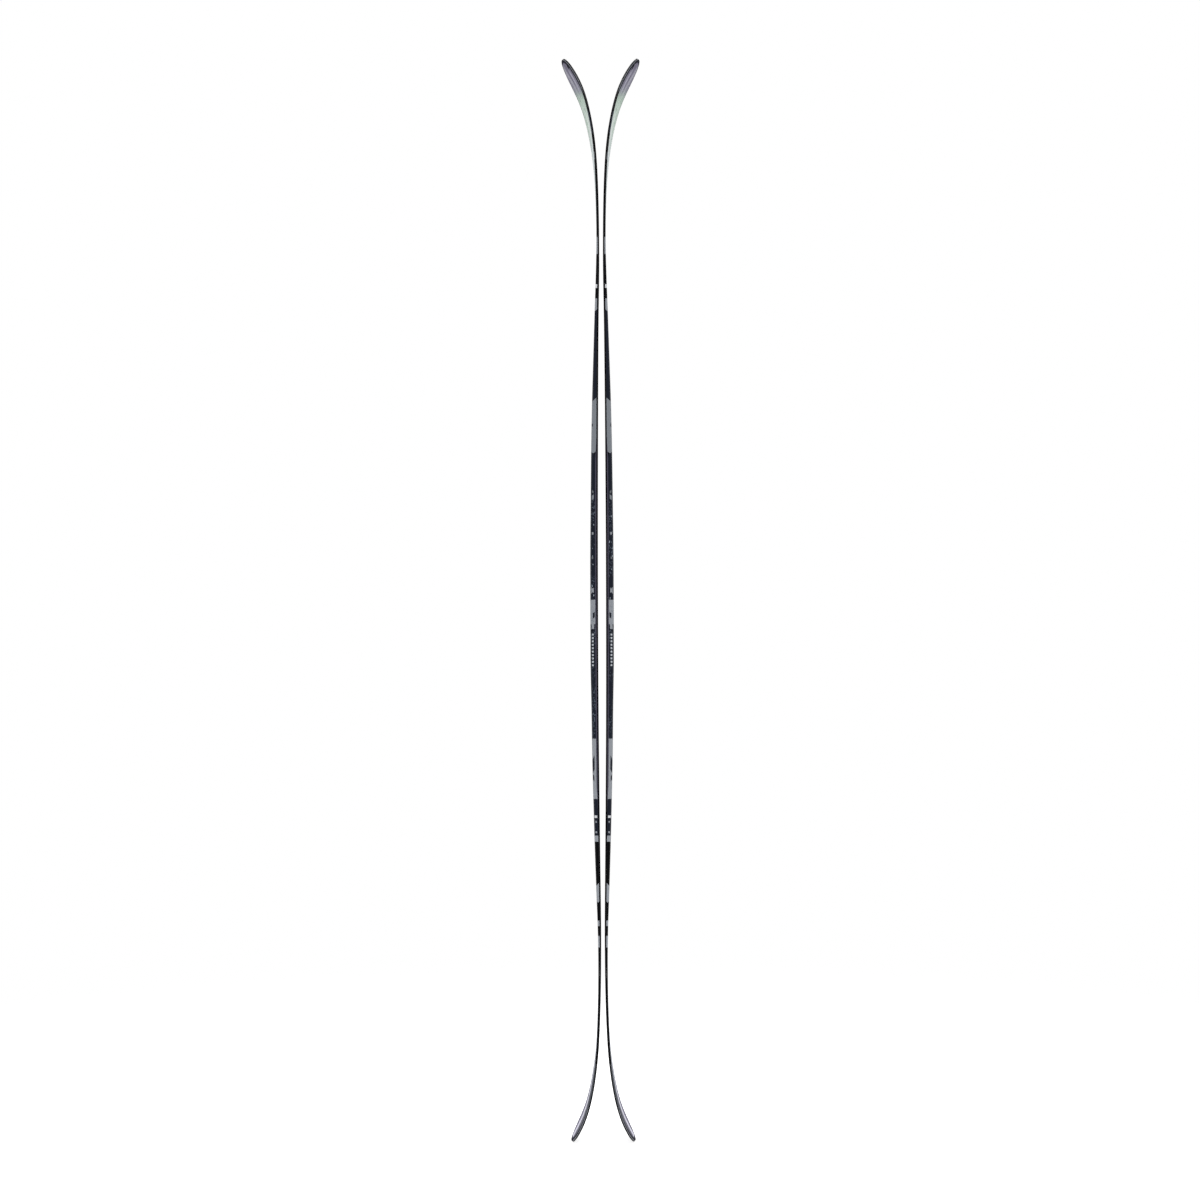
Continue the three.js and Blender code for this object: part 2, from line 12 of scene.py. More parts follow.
import bmesh
import bpy
import numpy as np
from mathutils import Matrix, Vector


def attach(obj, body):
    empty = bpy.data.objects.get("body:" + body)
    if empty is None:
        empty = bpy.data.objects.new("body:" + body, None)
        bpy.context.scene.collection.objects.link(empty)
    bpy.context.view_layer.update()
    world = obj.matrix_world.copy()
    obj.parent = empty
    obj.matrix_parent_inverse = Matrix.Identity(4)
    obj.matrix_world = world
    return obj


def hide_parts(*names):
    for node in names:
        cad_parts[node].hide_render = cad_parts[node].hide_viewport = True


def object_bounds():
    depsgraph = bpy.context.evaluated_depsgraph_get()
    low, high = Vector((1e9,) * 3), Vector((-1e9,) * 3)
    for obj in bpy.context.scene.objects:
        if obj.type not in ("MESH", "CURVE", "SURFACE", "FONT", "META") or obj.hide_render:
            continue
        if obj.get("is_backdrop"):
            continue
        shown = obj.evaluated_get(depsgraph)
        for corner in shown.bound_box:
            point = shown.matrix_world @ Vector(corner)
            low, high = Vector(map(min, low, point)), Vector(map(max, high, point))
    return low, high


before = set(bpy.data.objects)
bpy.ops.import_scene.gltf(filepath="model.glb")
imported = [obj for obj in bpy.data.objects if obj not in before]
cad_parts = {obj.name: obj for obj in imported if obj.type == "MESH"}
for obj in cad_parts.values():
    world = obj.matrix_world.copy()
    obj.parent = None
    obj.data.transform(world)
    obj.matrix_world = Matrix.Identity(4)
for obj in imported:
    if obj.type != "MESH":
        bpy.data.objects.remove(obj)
CAD_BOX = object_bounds()

# ------------------------------------------------------------------ dimensions (mm)
CHORD = 1800

# Camber line: (height z, distance of the running surface from the plane between the skis).
PROFILE = [
    (0, 50.7), (20, 39.9), (45, 28.7), (80, 18.6), (120, 11.75), (160, 7.55), (200, 5.4),
    (240, 4.1), (285, 3.3), (330, 3.0), (400, 3.45), (500, 4.55), (600, 5.45), (700, 6.2),
    (800, 6.6), (900, 6.75), (1000, 6.7), (1100, 6.35), (1200, 5.85), (1300, 5.2), (1400, 4.15),
    (1480, 3.1), (1540, 3.7), (1580, 4.8), (1620, 6.9), (1660, 11.0), (1700, 18.2), (1740, 29.8),
    (1770, 44.1), (1800, 62.0),
]
# (height z, total thickness)
THICKNESS = [
    (0, 4.3), (60, 4.2), (160, 4.2), (240, 4.3), (300, 4.6), (360, 5.45), (420, 6.95), (490, 8.5),
    (560, 9.75), (640, 10.95), (720, 11.5), (790, 12.2), (880, 12.7), (980, 12.3), (1060, 11.7),
    (1140, 11.05), (1220, 9.85), (1290, 8.15), (1360, 6.5), (1430, 5.1), (1500, 4.4), (1580, 4.2),
    (1700, 4.2), (1800, 4.3),
]

# Layers, from the running surface up (T thickness, W width, H height)
BASE_T = 1.2
EDGE_W, EDGE_H = 2.0, 1.9
FLANGE_W, FLANGE_T = 5.0, 0.6
GLUE = 0.05
FOIL_T = 0.15
LOWER_LAMINATE_T = 0.35
TAPE_T, TAPE_HALF = 0.3, 16
PLATE_T, PLATE_HALF, PLATE_CORNER = 0.4, 34, 10
UPPER_LAMINATE_T = 0.45
SHEET_T = 0.7
CAP_T = SHEET_T + GLUE + UPPER_LAMINATE_T
FOIL_TOP = EDGE_H + GLUE + FOIL_T
CORE_BOTTOM = EDGE_H + GLUE + FOIL_T + GLUE + LOWER_LAMINATE_T + GLUE
EDGE_REACH = EDGE_W + FLANGE_W

# Side wall, rims and core strips (half widths across the ski)
SIDEWALL_W, SIDEWALL_TOP = 8, 4.4
RIM_W = 6.0
CENTRE_HALF, INNER_HALF = 16, 34

# Joints along the ski
BUTT = 0.1  # gap between butting pieces
TAIL_JOINT, TIP_JOINT = 80, 110  # from either end
CORE_TAIL, CORE_TIP = 235, 270  # from either end
SIDE_Z, PLATE_Z = (557, 1165), (690, 1070)
FLAT_Z, FLAT_X, FLAT_EASE = (800, 960), 19.25, 90  # the flat top under the binding

# Cross-section of the cap
CAP_INSET = 0.05
SHOULDER_IN, SHOULDER_DROP, CORNER_IN = 0.30, 0.22, 0.55  # shares of the cap's rise
CORNER_EXTRA = 0.4
LIP_ROUND = 0.12

# Plan outline: half widths, and the radii of the rounded ends
TIP_HALF, WAIST_HALF, TAIL_HALF = 64.0, 48.0, 58.0
TIP_RADIUS, TAIL_RADIUS = 49.0, 56.5
TIP_WIDEST, TAIL_WIDEST = 175, 150  # from either end
TAPER_POWER = 1.75

# Mesh spacing
FINE_STEP, COARSE_STEP, STEP_GROWTH = 1.7, 7.0, 36
CORE_STEP = 9


# ------------------------------------------------------------------ curves
class Spline:
    """Natural cubic spline."""

    def __init__(self, x, y):
        self.x, self.y = np.asarray(x, float), np.asarray(y, float)
        count = len(self.x)
        matrix, right = np.zeros((count, count)), np.zeros(count)
        matrix[0, 0] = matrix[-1, -1] = 1
        h = np.diff(self.x)
        for i in range(1, count - 1):
            matrix[i, i - 1 : i + 2] = h[i - 1], 2 * (h[i - 1] + h[i]), h[i]
            after = (self.y[i + 1] - self.y[i]) / h[i]
            before = (self.y[i] - self.y[i - 1]) / h[i - 1]
            right[i] = 6 * (after - before)
        self.bend = np.linalg.solve(matrix, right)

    def _segment(self, at):
        at = np.asarray(at, float)
        i = np.clip(np.searchsorted(self.x, at, side="right") - 1, 0, len(self.x) - 2)
        h = self.x[i + 1] - self.x[i]
        return i, h, (self.x[i + 1] - at) / h, (at - self.x[i]) / h

    def __call__(self, at):
        i, h, a, b = self._segment(at)
        curve = (a**3 - a) * self.bend[i] + (b**3 - b) * self.bend[i + 1]
        return a * self.y[i] + b * self.y[i + 1] + curve * h * h / 6

    def slope(self, at):
        i, h, a, b = self._segment(at)
        curve = -(3 * a * a - 1) * self.bend[i] + (3 * b * b - 1) * self.bend[i + 1]
        return (self.y[i + 1] - self.y[i]) / h + curve * h / 6


class Monotone:
    """Monotone cubic (Fritsch-Carlson)."""

    def __init__(self, x, y):
        self.x, self.y = x, y
        grade, h = np.diff(y) / np.diff(x), np.diff(x)
        slopes = [grade[0]]
        for i in range(1, len(x) - 1):
            if grade[i - 1] * grade[i] <= 0:
                slopes.append(0.0)
            else:
                w1, w2 = 2 * h[i] + h[i - 1], h[i] + 2 * h[i - 1]
                slopes.append((w1 + w2) / (w1 / grade[i - 1] + w2 / grade[i]))
        self.slopes = np.array(slopes + [grade[-1]])

    def __call__(self, at):
        at = np.clip(np.asarray(at, float), self.x[0], self.x[-1])
        i = np.clip(np.searchsorted(self.x, at, side="right") - 1, 0, len(self.x) - 2)
        h = self.x[i + 1] - self.x[i]
        t = (at - self.x[i]) / h
        t2, t3 = t * t, t * t * t
        return (self.y[i] * (2 * t3 - 3 * t2 + 1) + h * self.slopes[i] * (t3 - 2 * t2 + t)
                + self.y[i + 1] * (3 * t2 - 2 * t3) + h * self.slopes[i + 1] * (t3 - t2))


def smooth(x):
    x = np.clip(x, 0, 1)
    return x * x * (3 - 2 * x)


lift = Spline(*np.array(PROFILE, float).T)
taper = Monotone(*np.array(THICKNESS, float).T)
CHORD_Z = np.arange(CHORD + 1, dtype=float)
CHORD_S = np.concatenate([[0.0], np.cumsum(np.sqrt(1 + lift.slope(CHORD_Z[1:] - 0.5) ** 2))])
LENGTH = float(CHORD_S[-1])


def s_of(z):
    return float(np.interp(z, CHORD_Z, CHORD_S))


def z_of(s):
    return np.interp(s, CHORD_S, CHORD_Z)


def flat_thickness(z):
    """Thickness that brings the top to the plane at FLAT_X."""
    slope = lift.slope(z)
    return (FLAT_X - lift(z)) * np.sqrt(1 + slope * slope)


def thickness(s):
    """Total thickness; flat on top under the binding, easing into the taper either side."""
    z = np.asarray(z_of(s), float)
    low, high = FLAT_Z
    base = taper(z)
    low_step = flat_thickness(low) - taper(low)
    high_step = flat_thickness(high) - taper(high)
    below = base + low_step * (1 - smooth((low - z) / FLAT_EASE))
    above = base + high_step * (1 - smooth((z - high) / FLAT_EASE))
    return np.where(z < low, below, np.where(z > high, above, flat_thickness(z)))


S_TAIL_JOINT, S_TIP_JOINT = TAIL_JOINT, LENGTH - TIP_JOINT
S_CORE = (CORE_TAIL, LENGTH - CORE_TIP)
S_SIDE, S_PLATE, S_FLAT = [[s_of(z) for z in pair] for pair in (SIDE_Z, PLATE_Z, FLAT_Z)]


def between(s, span):
    return (s > span[0] - 0.01) & (s < span[1] + 0.01)


def lip(s):
    """Height of the top sheet's lower lip, which steps up and then ramps over the side wall."""
    ramp = smooth(np.minimum(s - S_SIDE[0], S_SIDE[1] - s) / 45)
    heel = np.where(between(s, S_SIDE), 0.3, 0.0)
    return CORE_BOTTOM + heel + (SIDEWALL_TOP - CORE_BOTTOM - heel) * ramp


def band_width(s):
    """Width of the edge, widening into the rims at both ends."""
    share = np.maximum(np.maximum((S_TAIL_JOINT - s) / 50, (s - S_TIP_JOINT) / 60), 0)
    return EDGE_W + (RIM_W - EDGE_W) * smooth(share)


# ------------------------------------------------------------------ outline in plan
def half_outline():
    """Points (s, y) from the middle of the tail round the +Y side to the middle of the tip."""
    angles = [math.radians(a) for a in (0, 11, 22, 33, 44)]
    turn = [(1 - math.cos(a), math.sin(a)) for a in angles]
    waist, tip_widest = 0.475 * LENGTH, LENGTH - TIP_WIDEST
    points = [(TAIL_RADIUS * d, TAIL_RADIUS * w) for d, w in turn]
    points += [(30, 48.8), (50, 52.6), (80, 55.6), (115, 57.3), (TAIL_WIDEST, TAIL_HALF)]
    points += [(TAIL_WIDEST + q * (waist - TAIL_WIDEST),
                WAIST_HALF + (TAIL_HALF - WAIST_HALF) * (1 - q) ** TAPER_POWER)
               for q in (0.15, 0.3, 0.45, 0.6, 0.75, 0.88)]
    points += [(waist, WAIST_HALF)]
    points += [(waist + q * (tip_widest - waist),
                WAIST_HALF + (TIP_HALF - WAIST_HALF) * q**TAPER_POWER)
               for q in (0.12, 0.25, 0.4, 0.55, 0.7, 0.85)]
    points += [(LENGTH - d, w) for d, w in (
        (TIP_WIDEST, TIP_HALF), (140, 63.5), (110, 61.8), (80, 58.4), (55, 54.2), (36, 48.5),
        (22, 41.4))]
    points += [(LENGTH - TIP_RADIUS * d, TIP_RADIUS * w) for d, w in reversed(turn)]
    return np.array(points)


def outline_curves(wrap=8):
    """Splines s(t) and y(t), run on past both ends by mirrored points, and the half's t range."""
    half = half_outline()
    mirror = half * [1, -1]
    loop = np.vstack([mirror[wrap:0:-1], half, mirror[-2 : -wrap - 2 : -1]])
    t = np.concatenate([[0], np.cumsum(np.hypot(*np.diff(loop, axis=0).T))])
    return Spline(t, loop[:, 0]), Spline(t, loop[:, 1]), t[wrap], t[wrap + len(half) - 1]


def outline_stations(curve_s, curve_y, start, end):
    """Parameters round the half: fine at the ends, coarser between, exact at every joint."""
    t_fine = np.linspace(start, end, 40001)
    s_fine, y_fine = curve_s(t_fine), curve_y(t_fine)
    arc = np.concatenate([[0], np.cumsum(np.hypot(np.diff(s_fine), np.diff(y_fine)))])
    from_end = np.minimum(arc, arc[-1] - arc)
    step = FINE_STEP + np.minimum(from_end / STEP_GROWTH, COARSE_STEP - FINE_STEP)
    count = np.concatenate([[0], np.cumsum(np.diff(arc) / ((step[1:] + step[:-1]) / 2))])
    t = np.interp(np.linspace(0, count[-1], int(round(count[-1])) + 1), count, t_fine)
    joints = [
        S_TAIL_JOINT - BUTT, S_TAIL_JOINT, S_CORE[0] - BUTT, S_CORE[0], S_SIDE[0] - BUTT, S_SIDE[0],
        S_SIDE[1], S_SIDE[1] + BUTT, S_CORE[1], S_CORE[1] + BUTT, S_TIP_JOINT, S_TIP_JOINT + BUTT,
        S_FLAT[0], S_FLAT[1],
    ]
    t_joints = np.array([np.interp(s, s_fine, t_fine) for s in joints])
    keep = np.array([np.min(np.abs(t_joints - v)) > 1.2 for v in t])
    keep[0] = keep[-1] = True
    return np.sort(np.concatenate([t[keep], t_joints]))


def half_ring():
    """Stations s, y and the inward normal there, for the +Y half."""
    curve_s, curve_y, start, end = outline_curves()
    t = outline_stations(curve_s, curve_y, start, end)
    s, y = curve_s(t), curve_y(t)
    ds, dy = curve_s.slope(t), curve_y.slope(t)
    speed = np.hypot(ds, dy)
    in_s, in_y = dy / speed, -ds / speed
    y[0] = y[-1] = 0.0
    in_s[0], in_y[0], in_s[-1], in_y[-1] = 1.0, 0.0, -1.0, 0.0
    return s, y, in_s, in_y


HALF_S, HALF_Y, HALF_IN_S, HALF_IN_Y = half_ring()
TIP = len(HALF_S) - 1  # ring index of the tip centre; the tail centre is 0
RING_S = np.concatenate([HALF_S, HALF_S[-2:0:-1]])
RING_Y = np.concatenate([HALF_Y, -HALF_Y[-2:0:-1]])
RING_IN_S = np.concatenate([HALF_IN_S, HALF_IN_S[-2:0:-1]])
RING_IN_Y = np.concatenate([HALF_IN_Y, -HALF_IN_Y[-2:0:-1]])
RING = len(RING_S)
RING_TOP, RING_LIP = thickness(RING_S), lip(RING_S)


def ring_index(s):
    """Ring index on the +Y side at an exact joint station."""
    return int(np.argmin(np.abs(HALF_S - s)))


def outline_distance(s, y, chunk=4000):
    """Distance of points from the outline stations, in plan."""
    outline = np.stack([RING_S, RING_Y], -1)
    points, nearest = np.stack([s, y], -1), np.full(len(s), 1e9)
    for i in range(0, len(points), chunk):
        gaps = points[i : i + chunk, None] - outline[None]
        nearest[i : i + chunk] = np.sqrt((gaps**2).sum(-1).min(1))
    return nearest


def to_row(s, y, n):
    """Mould coordinates to the frame of the pair, in metres, for the right ski."""
    z = z_of(s)
    slope = lift.slope(z)
    q = np.sqrt(1 + slope * slope)
    return np.stack([lift(z) + n / q, y, z - n * slope / q], -1) / 1000.0


# ------------------------------------------------------------------ cross-section of the cap
def cap_points(lip_n, top_n):
    """Lip, shoulder start and top corner, each as (inset, height)."""
    rise = top_n - lip_n
    return ((np.full_like(rise, CAP_INSET), lip_n),
            (CAP_INSET + SHOULDER_IN * rise, top_n - SHOULDER_DROP * rise),
            (CAP_INSET + CORNER_IN * rise + CORNER_EXTRA, top_n))


def cap_moved(lip_n, top_n, depth):
    """The same three points at a depth under the outside."""
    foot, shoulder, corner = cap_points(lip_n, top_n)
    shoulder_n = np.minimum(shoulder[1] - 0.55 * depth, corner[1] - depth - 0.02)
    corner_in = np.maximum(corner[0] + 0.55 * depth, shoulder[0] + depth + 0.2)
    return ((foot[0] + depth, foot[1]), (shoulder[0] + depth, shoulder_n),
            (corner_in, corner[1] - depth))


def fillet(before, corner, after, radius, steps):
    """Levels that round the corner between its neighbours."""
    v0 = (before[0] - corner[0], before[1] - corner[1])
    v2 = (after[0] - corner[0], after[1] - corner[1])
    l0, l2 = np.hypot(*v0), np.hypot(*v2)
    r = np.minimum(radius, 0.42 * np.minimum(l0, l2))
    a = (corner[0] + v0[0] / l0 * r, corner[1] + v0[1] / l0 * r)
    b = (corner[0] + v2[0] / l2 * r, corner[1] + v2[1] / l2 * r)
    levels = []
    for i in range(steps + 1):
        t = i / steps
        w0, w1, w2 = (1 - t) ** 2, 2 * t * (1 - t), t * t
        levels.append(tuple(w0 * a[k] + w1 * corner[k] + w2 * b[k] for k in (0, 1)))
    return levels


def cap_levels(depth, shoulder_r, corner_r, steps):
    """Rings of the cap surface at a depth under the outside, from the lip up to the flat top."""
    foot, shoulder, corner = cap_moved(RING_LIP, RING_TOP, depth) if depth else cap_points(
        RING_LIP, RING_TOP)
    shares = (0.0,) if depth else (0.0, 0.3)
    wall = [tuple(foot[k] * (1 - f) + shoulder[k] * f for k in (0, 1)) for f in shares]
    flat = [(corner[0] + d, corner[1]) for d in (2.2, 4.5, 8.0)]
    return (wall + fillet(foot, shoulder, corner, shoulder_r, steps)
            + fillet(shoulder, corner, (corner[0] + 4.0, corner[1]), corner_r, steps) + flat)


def inner_cap():
    """Lip, shoulder and corner of the space inside the cap."""
    return cap_moved(RING_LIP, RING_TOP, CAP_T + GLUE)


# ------------------------------------------------------------------ mesh building
class Solid:
    """Collects vertices in mould coordinates, with faces.

    Each vertex also carries v, its share of the way up the cap wall, and w, how far it lies inside
    the cap's top corner. Both stay zero where unused.
    """

    def __init__(self):
        self.columns = [[], [], [], [], []]  # s, y, n, v, w
        self.faces = []
        self.count = 0

    def add(self, s, y, n, v=0.0, w=0.0):
        size = len(s)
        for column, values in zip(self.columns, (s, y, n, v, w)):
            column.append(np.broadcast_to(np.asarray(values, float), (size,)))
        self.count += size
        return np.arange(self.count - size, self.count)

    def ring(self, inset, n, v=0.0, w=0.0):
        return self.add(RING_S + inset * RING_IN_S, RING_Y + inset * RING_IN_Y, n, v, w)

    def strip(self, a, b):
        for j in range(RING):
            k = (j + 1) % RING
            self.faces.append((a[j], a[k], b[k], b[j]))

    def arrays(self):
        return [np.concatenate(column) for column in self.columns]

    def fill(self, ring, cols):
        """Closes a ring across the ski with rows of quads, a little closer at the sides."""
        s, y, n, v, w = self.arrays()
        even = np.arange(1, cols) / cols
        f = 0.35 * (0.5 - 0.5 * np.cos(np.pi * even)) + 0.65 * np.arange(1, cols) / cols
        rows = [np.array([ring[0]])]
        for j in range(1, TIP):
            a, b = ring[j], ring[RING - j]
            row_y = y[a] + (y[b] - y[a]) * f
            ids = self.add(np.full(cols - 1, s[a]), row_y, n[a], v[a],
                           w[a] + np.minimum(abs(y[a]) - np.abs(row_y), 60))
            rows.append(np.concatenate([[a], ids, [b]]))
        rows.append(np.array([ring[TIP]]))
        for r0, r1 in zip(rows[:-1], rows[1:]):
            for k in range(max(len(r0), len(r1)) - 1):
                if len(r0) == 1:
                    self.faces.append((r0[0], r1[k], r1[k + 1]))
                elif len(r1) == 1:
                    self.faces.append((r0[k], r1[0], r0[k + 1]))
                else:
                    self.faces.append((r0[k], r1[k], r1[k + 1], r0[k + 1]))

    def closed(self, levels, cols):
        """Rings (inset, n, and maybe v, w) from one filled face round to the other."""
        rings = [self.ring(*level) for level in levels]
        for a, b in zip(rings[:-1], rings[1:]):
            self.strip(a, b)
        self.fill(rings[0], cols)
        self.fill(rings[-1], cols)
        return self

    def sweep(self, path, profile, flip=1):
        """Sweeps a closed profile of (inset, height) along ring indices."""
        path = np.asarray(path) % RING
        grid = np.zeros((len(path), len(profile)), int)
        for c, point in enumerate(profile):
            inset, n = (np.broadcast_to(np.asarray(q, float), (RING,))[path] for q in point)
            grid[:, c] = self.add(RING_S[path] + inset * RING_IN_S[path],
                                  flip * (RING_Y[path] + inset * RING_IN_Y[path]), n)
        return self.tube(grid)

    def loft(self, stations, section):
        """Lofts a closed section of (y, n) along the ski."""
        points = section(stations)
        grid = np.zeros((len(stations), len(points)), int)
        for c, (y, n) in enumerate(points):
            grid[:, c] = self.add(stations, y, n)
        return self.tube(grid)

    def tube(self, grid):
        """Skins a grid of closed sections and caps both ends."""
        rows, cols = grid.shape
        for i in range(rows - 1):
            for c in range(cols):
                d = (c + 1) % cols
                self.faces.append((grid[i, c], grid[i, d], grid[i + 1, d], grid[i + 1, c]))
        self.faces.append(tuple(grid[0][::-1]))
        self.faces.append(tuple(grid[-1]))
        return self


def set_layout(mesh, solid, inset):
    """Stores the mould coordinates, and the distance from the outline if inset is set."""
    s, y, n, v, w = solid.arrays()
    d = outline_distance(s, y) if inset else np.zeros(len(s))
    for key, values in zip("synvwd", (s, y, n, v, w, d)):
        attribute = mesh.attributes.new(f"lay_{key}", "FLOAT", "POINT")
        attribute.data.foreach_set("value", np.asarray(values, np.float32))


def make(name, solid, side, slot, angle=32, inset=False):
    """Turns a solid into a Blender object on one ski."""
    places = to_row(*solid.arrays()[:3])
    if side == "left":
        places = places * [-1, 1, 1]
    mesh = bpy.data.meshes.new(f"{side}_{name}_looks")
    mesh.from_pydata(places.tolist(), [], [tuple(int(i) for i in f) for f in solid.faces])
    mesh.validate()
    set_layout(mesh, solid, inset)
    bm = bmesh.new()
    bm.from_mesh(mesh)
    bmesh.ops.remove_doubles(bm, verts=bm.verts, dist=1e-7)
    bmesh.ops.recalc_face_normals(bm, faces=bm.faces)
    if bm.calc_volume(signed=True) < 0:
        bmesh.ops.reverse_faces(bm, faces=bm.faces)
    bm.to_mesh(mesh)
    bm.free()
    mesh.shade_smooth()
    mesh.set_sharp_from_angle(angle=math.radians(angle))
    mesh.materials.append(MATERIALS[slot])
    obj = bpy.data.objects.new(f"{side}_{name}_fine", mesh)
    bpy.context.scene.collection.objects.link(obj)
    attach(obj, f"{side}_ski")
    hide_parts(f"{side}_{name}")


# ------------------------------------------------------------------ shader nodes
class Signal:
    """A node output that can be used in arithmetic; every operation adds a Math node."""

    def __init__(self, graph, socket):
        self.graph, self.socket = graph, socket

    def __add__(self, other):
        return self.graph.math("ADD", self, other)

    def __sub__(self, other):
        return self.graph.math("SUBTRACT", self, other)

    def __rsub__(self, other):
        return self.graph.math("SUBTRACT", other, self)

    def __mul__(self, other):
        return self.graph.math("MULTIPLY", self, other)

    def __truediv__(self, other):
        return self.graph.math("DIVIDE", self, other)

    def __pow__(self, other):
        return self.graph.math("POWER", self, other)

    def __lt__(self, other):
        return self.graph.math("LESS_THAN", self, other)

    def __gt__(self, other):
        return self.graph.math("GREATER_THAN", self, other)

    def __abs__(self):
        return self.graph.math("ABSOLUTE", self)

    def times(self, factor, plus, clamp=False):
        return self.graph.math("MULTIPLY_ADD", self, factor, plus, clamp=clamp)

    def above(self, edge, soft):
        """0 below edge, 1 above, over a width of soft."""
        return (self - edge).times(1.0 / soft, plus=0.5, clamp=True)

    def below(self, edge, soft):
        return 1.0 - self.above(edge, soft)

    def band(self, low, high, soft):
        return self.above(low, soft) * self.below(high, soft)

    def outside(self, low, high, soft):
        return self.graph.math("MAXIMUM", self.above(high, soft), self.below(low, soft))

    def fade(self, reach):
        """1 at zero, falling to 0 at reach."""
        return self.graph.math("SUBTRACT", 1.0, self / reach, clamp=True)

    def wave(self, length):
        return self.graph.math("SINE", self * (math.tau / length))


class Nodes:
    """Adds nodes to a tree. Inputs are given by name or number."""

    def __init__(self, tree):
        self.tree = tree

    def put(self, socket, value):
        if isinstance(value, Signal):
            self.tree.links.new(value.socket, socket)
        else:
            socket.default_value = value

    def new(self, kind, inputs=None, **settings):
        node = self.tree.nodes.new(kind)
        for key, value in settings.items():
            setattr(node, key, value)
        for key, value in (inputs or {}).items():
            self.put(node.inputs[key], value)
        return node

    def add(self, kind, inputs=None, output=0, **settings):
        return Signal(self, self.new(kind, inputs, **settings).outputs[output])

    def ease(self, value, start, end, to=(0.0, 1.0), kind="SMOOTHSTEP"):
        """Eases from to[0] to to[1] as the value goes from start to end."""
        return self.add("ShaderNodeMapRange", {
            "Value": value, "From Min": start, "From Max": end, "To Min": to[0], "To Max": to[1],
        }, interpolation_type=kind)


class Graph(Nodes):
    """A procedural material round one Principled shader."""

    def __init__(self, name):
        self.material = bpy.data.materials.new(name)
        self.material.use_nodes = True
        super().__init__(self.material.node_tree)
        self.tree.nodes.clear()
        self.output = self.new("ShaderNodeOutputMaterial")
        self.shader = self.new("ShaderNodeBsdfPrincipled")
        self.tree.links.new(self.shader.outputs[0], self.output.inputs[0])

    @cached_property
    def position(self):
        return self.add("ShaderNodeTexCoord", output="Object")

    @cached_property
    def axes(self):
        """x, y and z of the object position, in metres."""
        node = self.new("ShaderNodeSeparateXYZ", {0: self.position})
        return [Signal(self, socket) for socket in node.outputs]

    @cached_property
    def height(self):
        """Height z in millimetres."""
        return self.axes[2] * 1000

    def math(self, operation, a, b=0.0, c=0.0, clamp=False):
        return self.add("ShaderNodeMath", {0: a, 1: b, 2: c}, operation=operation, use_clamp=clamp)

    def larger(self, a, b):
        return self.math("MAXIMUM", a, b)

    def attribute(self, name):
        return self.add("ShaderNodeAttribute", output="Fac", attribute_name=name)

    def mix(self, amount, under, over, mode="MIX"):
        return self.add("ShaderNodeMix", {0: amount, 6: under, 7: over}, output=2,
                        data_type="RGBA", blend_type=mode)

    def ramp(self, value, stops, span=1.0):
        """Colour ramp; stops are (position, grey or colour), with positions out of span."""
        node = self.new("ShaderNodeValToRGB")
        elements = node.color_ramp.elements
        while len(elements) < len(stops):
            elements.new(0.5)
        for element, (place, tone) in zip(elements, stops):
            element.position = place / span
            element.color = tone if isinstance(tone, tuple) else (tone, tone, tone, 1)
        self.put(node.inputs[0], value)
        return Signal(self, node.outputs[0])

    def mapped(self, stretch, shift=(0, 0, 0)):
        return self.add("ShaderNodeMapping", {
            "Vector": self.position, "Scale": stretch, "Location": shift})

    def noise(self, scale, detail, rough=0.5, distortion=0.0, stretch=(1, 1, 1), shift=(0, 0, 0)):
        """Noise on the object position, or on the bare position when stretch is None."""
        vector = self.mapped(stretch, shift) if stretch else self.position
        return self.add("ShaderNodeTexNoise", {
            "Vector": vector, "Scale": scale, "Detail": detail, "Roughness": rough,
            "Distortion": distortion,
        }, output="Fac")

    def cells(self, scale, stretch, shift=(0, 0, 0)):
        """Distance from scattered cell centres."""
        return self.add("ShaderNodeTexVoronoi", {
            "Vector": self.mapped(stretch, shift), "Scale": scale})

    def bump(self, height, strength, distance):
        return self.add("ShaderNodeBump", {
            "Strength": strength, "Distance": distance, "Height": height})

    def finish(self, colour, rough, **inputs):
        """Sets the shader's inputs; an underscore stands for a space in their names."""
        for key, value in {"Base_Color": colour, "Roughness": rough, **inputs}.items():
            self.put(self.shader.inputs[key.replace("_", " ")], value)
        return self.material


def srgb(*channels):
    """Linear colour from 0-255 sRGB."""
    def linear(c):
        c /= 255
        return c / 12.92 if c <= 0.04045 else ((c + 0.055) / 1.055) ** 2.4
    return (*(linear(c) for c in channels), 1.0)


# ------------------------------------------------------------------ printed top film
BLACK, NAVY, SLATE, MID = srgb(5, 6, 8), srgb(26, 30, 40), srgb(54, 59, 70), srgb(122, 127, 133)
GREY, PALE, DARK = srgb(140, 144, 150), srgb(200, 202, 205), srgb(70, 73, 79)
SHADE = srgb(98, 102, 106)
# Blocks on the side wall: (from height, to height, colour, slant of the ends), painted in turn.
WALL_BLOCKS = [
    (1722, 1805, SLATE, 0), (1697, 1730, BLACK, 0), (1660, 1697, SLATE, 0), (1630, 1660, BLACK, 0),
    (1617, 1630, SHADE, 0), (1492, 1617, BLACK, 0), (1464, 1492, GREY, 0), (1415, 1464, BLACK, 0),
    (1409, 1415, PALE, 0), (1392, 1409, BLACK, 0), (1372, 1392, GREY, 0), (1227, 1372, NAVY, 5),
    (1139, 1227, MID, 6), (847, 1139, NAVY, -6), (859, 899, GREY, 0), (787, 847, NAVY, 0),
    (671, 787, NAVY, 0), (572, 671, GREY, 0), (512, 572, NAVY, 0), (502, 512, GREY, 0),
    (432, 502, BLACK, 0), (402, 432, GREY, 5), (373, 402, BLACK, -5), (364, 373, GREY, 0),
    (348, 364, BLACK, 0), (329, 348, GREY, 0), (139, 329, BLACK, 0), (30, 139, DARK, 0),
    (-5, 30, BLACK, 0),
]
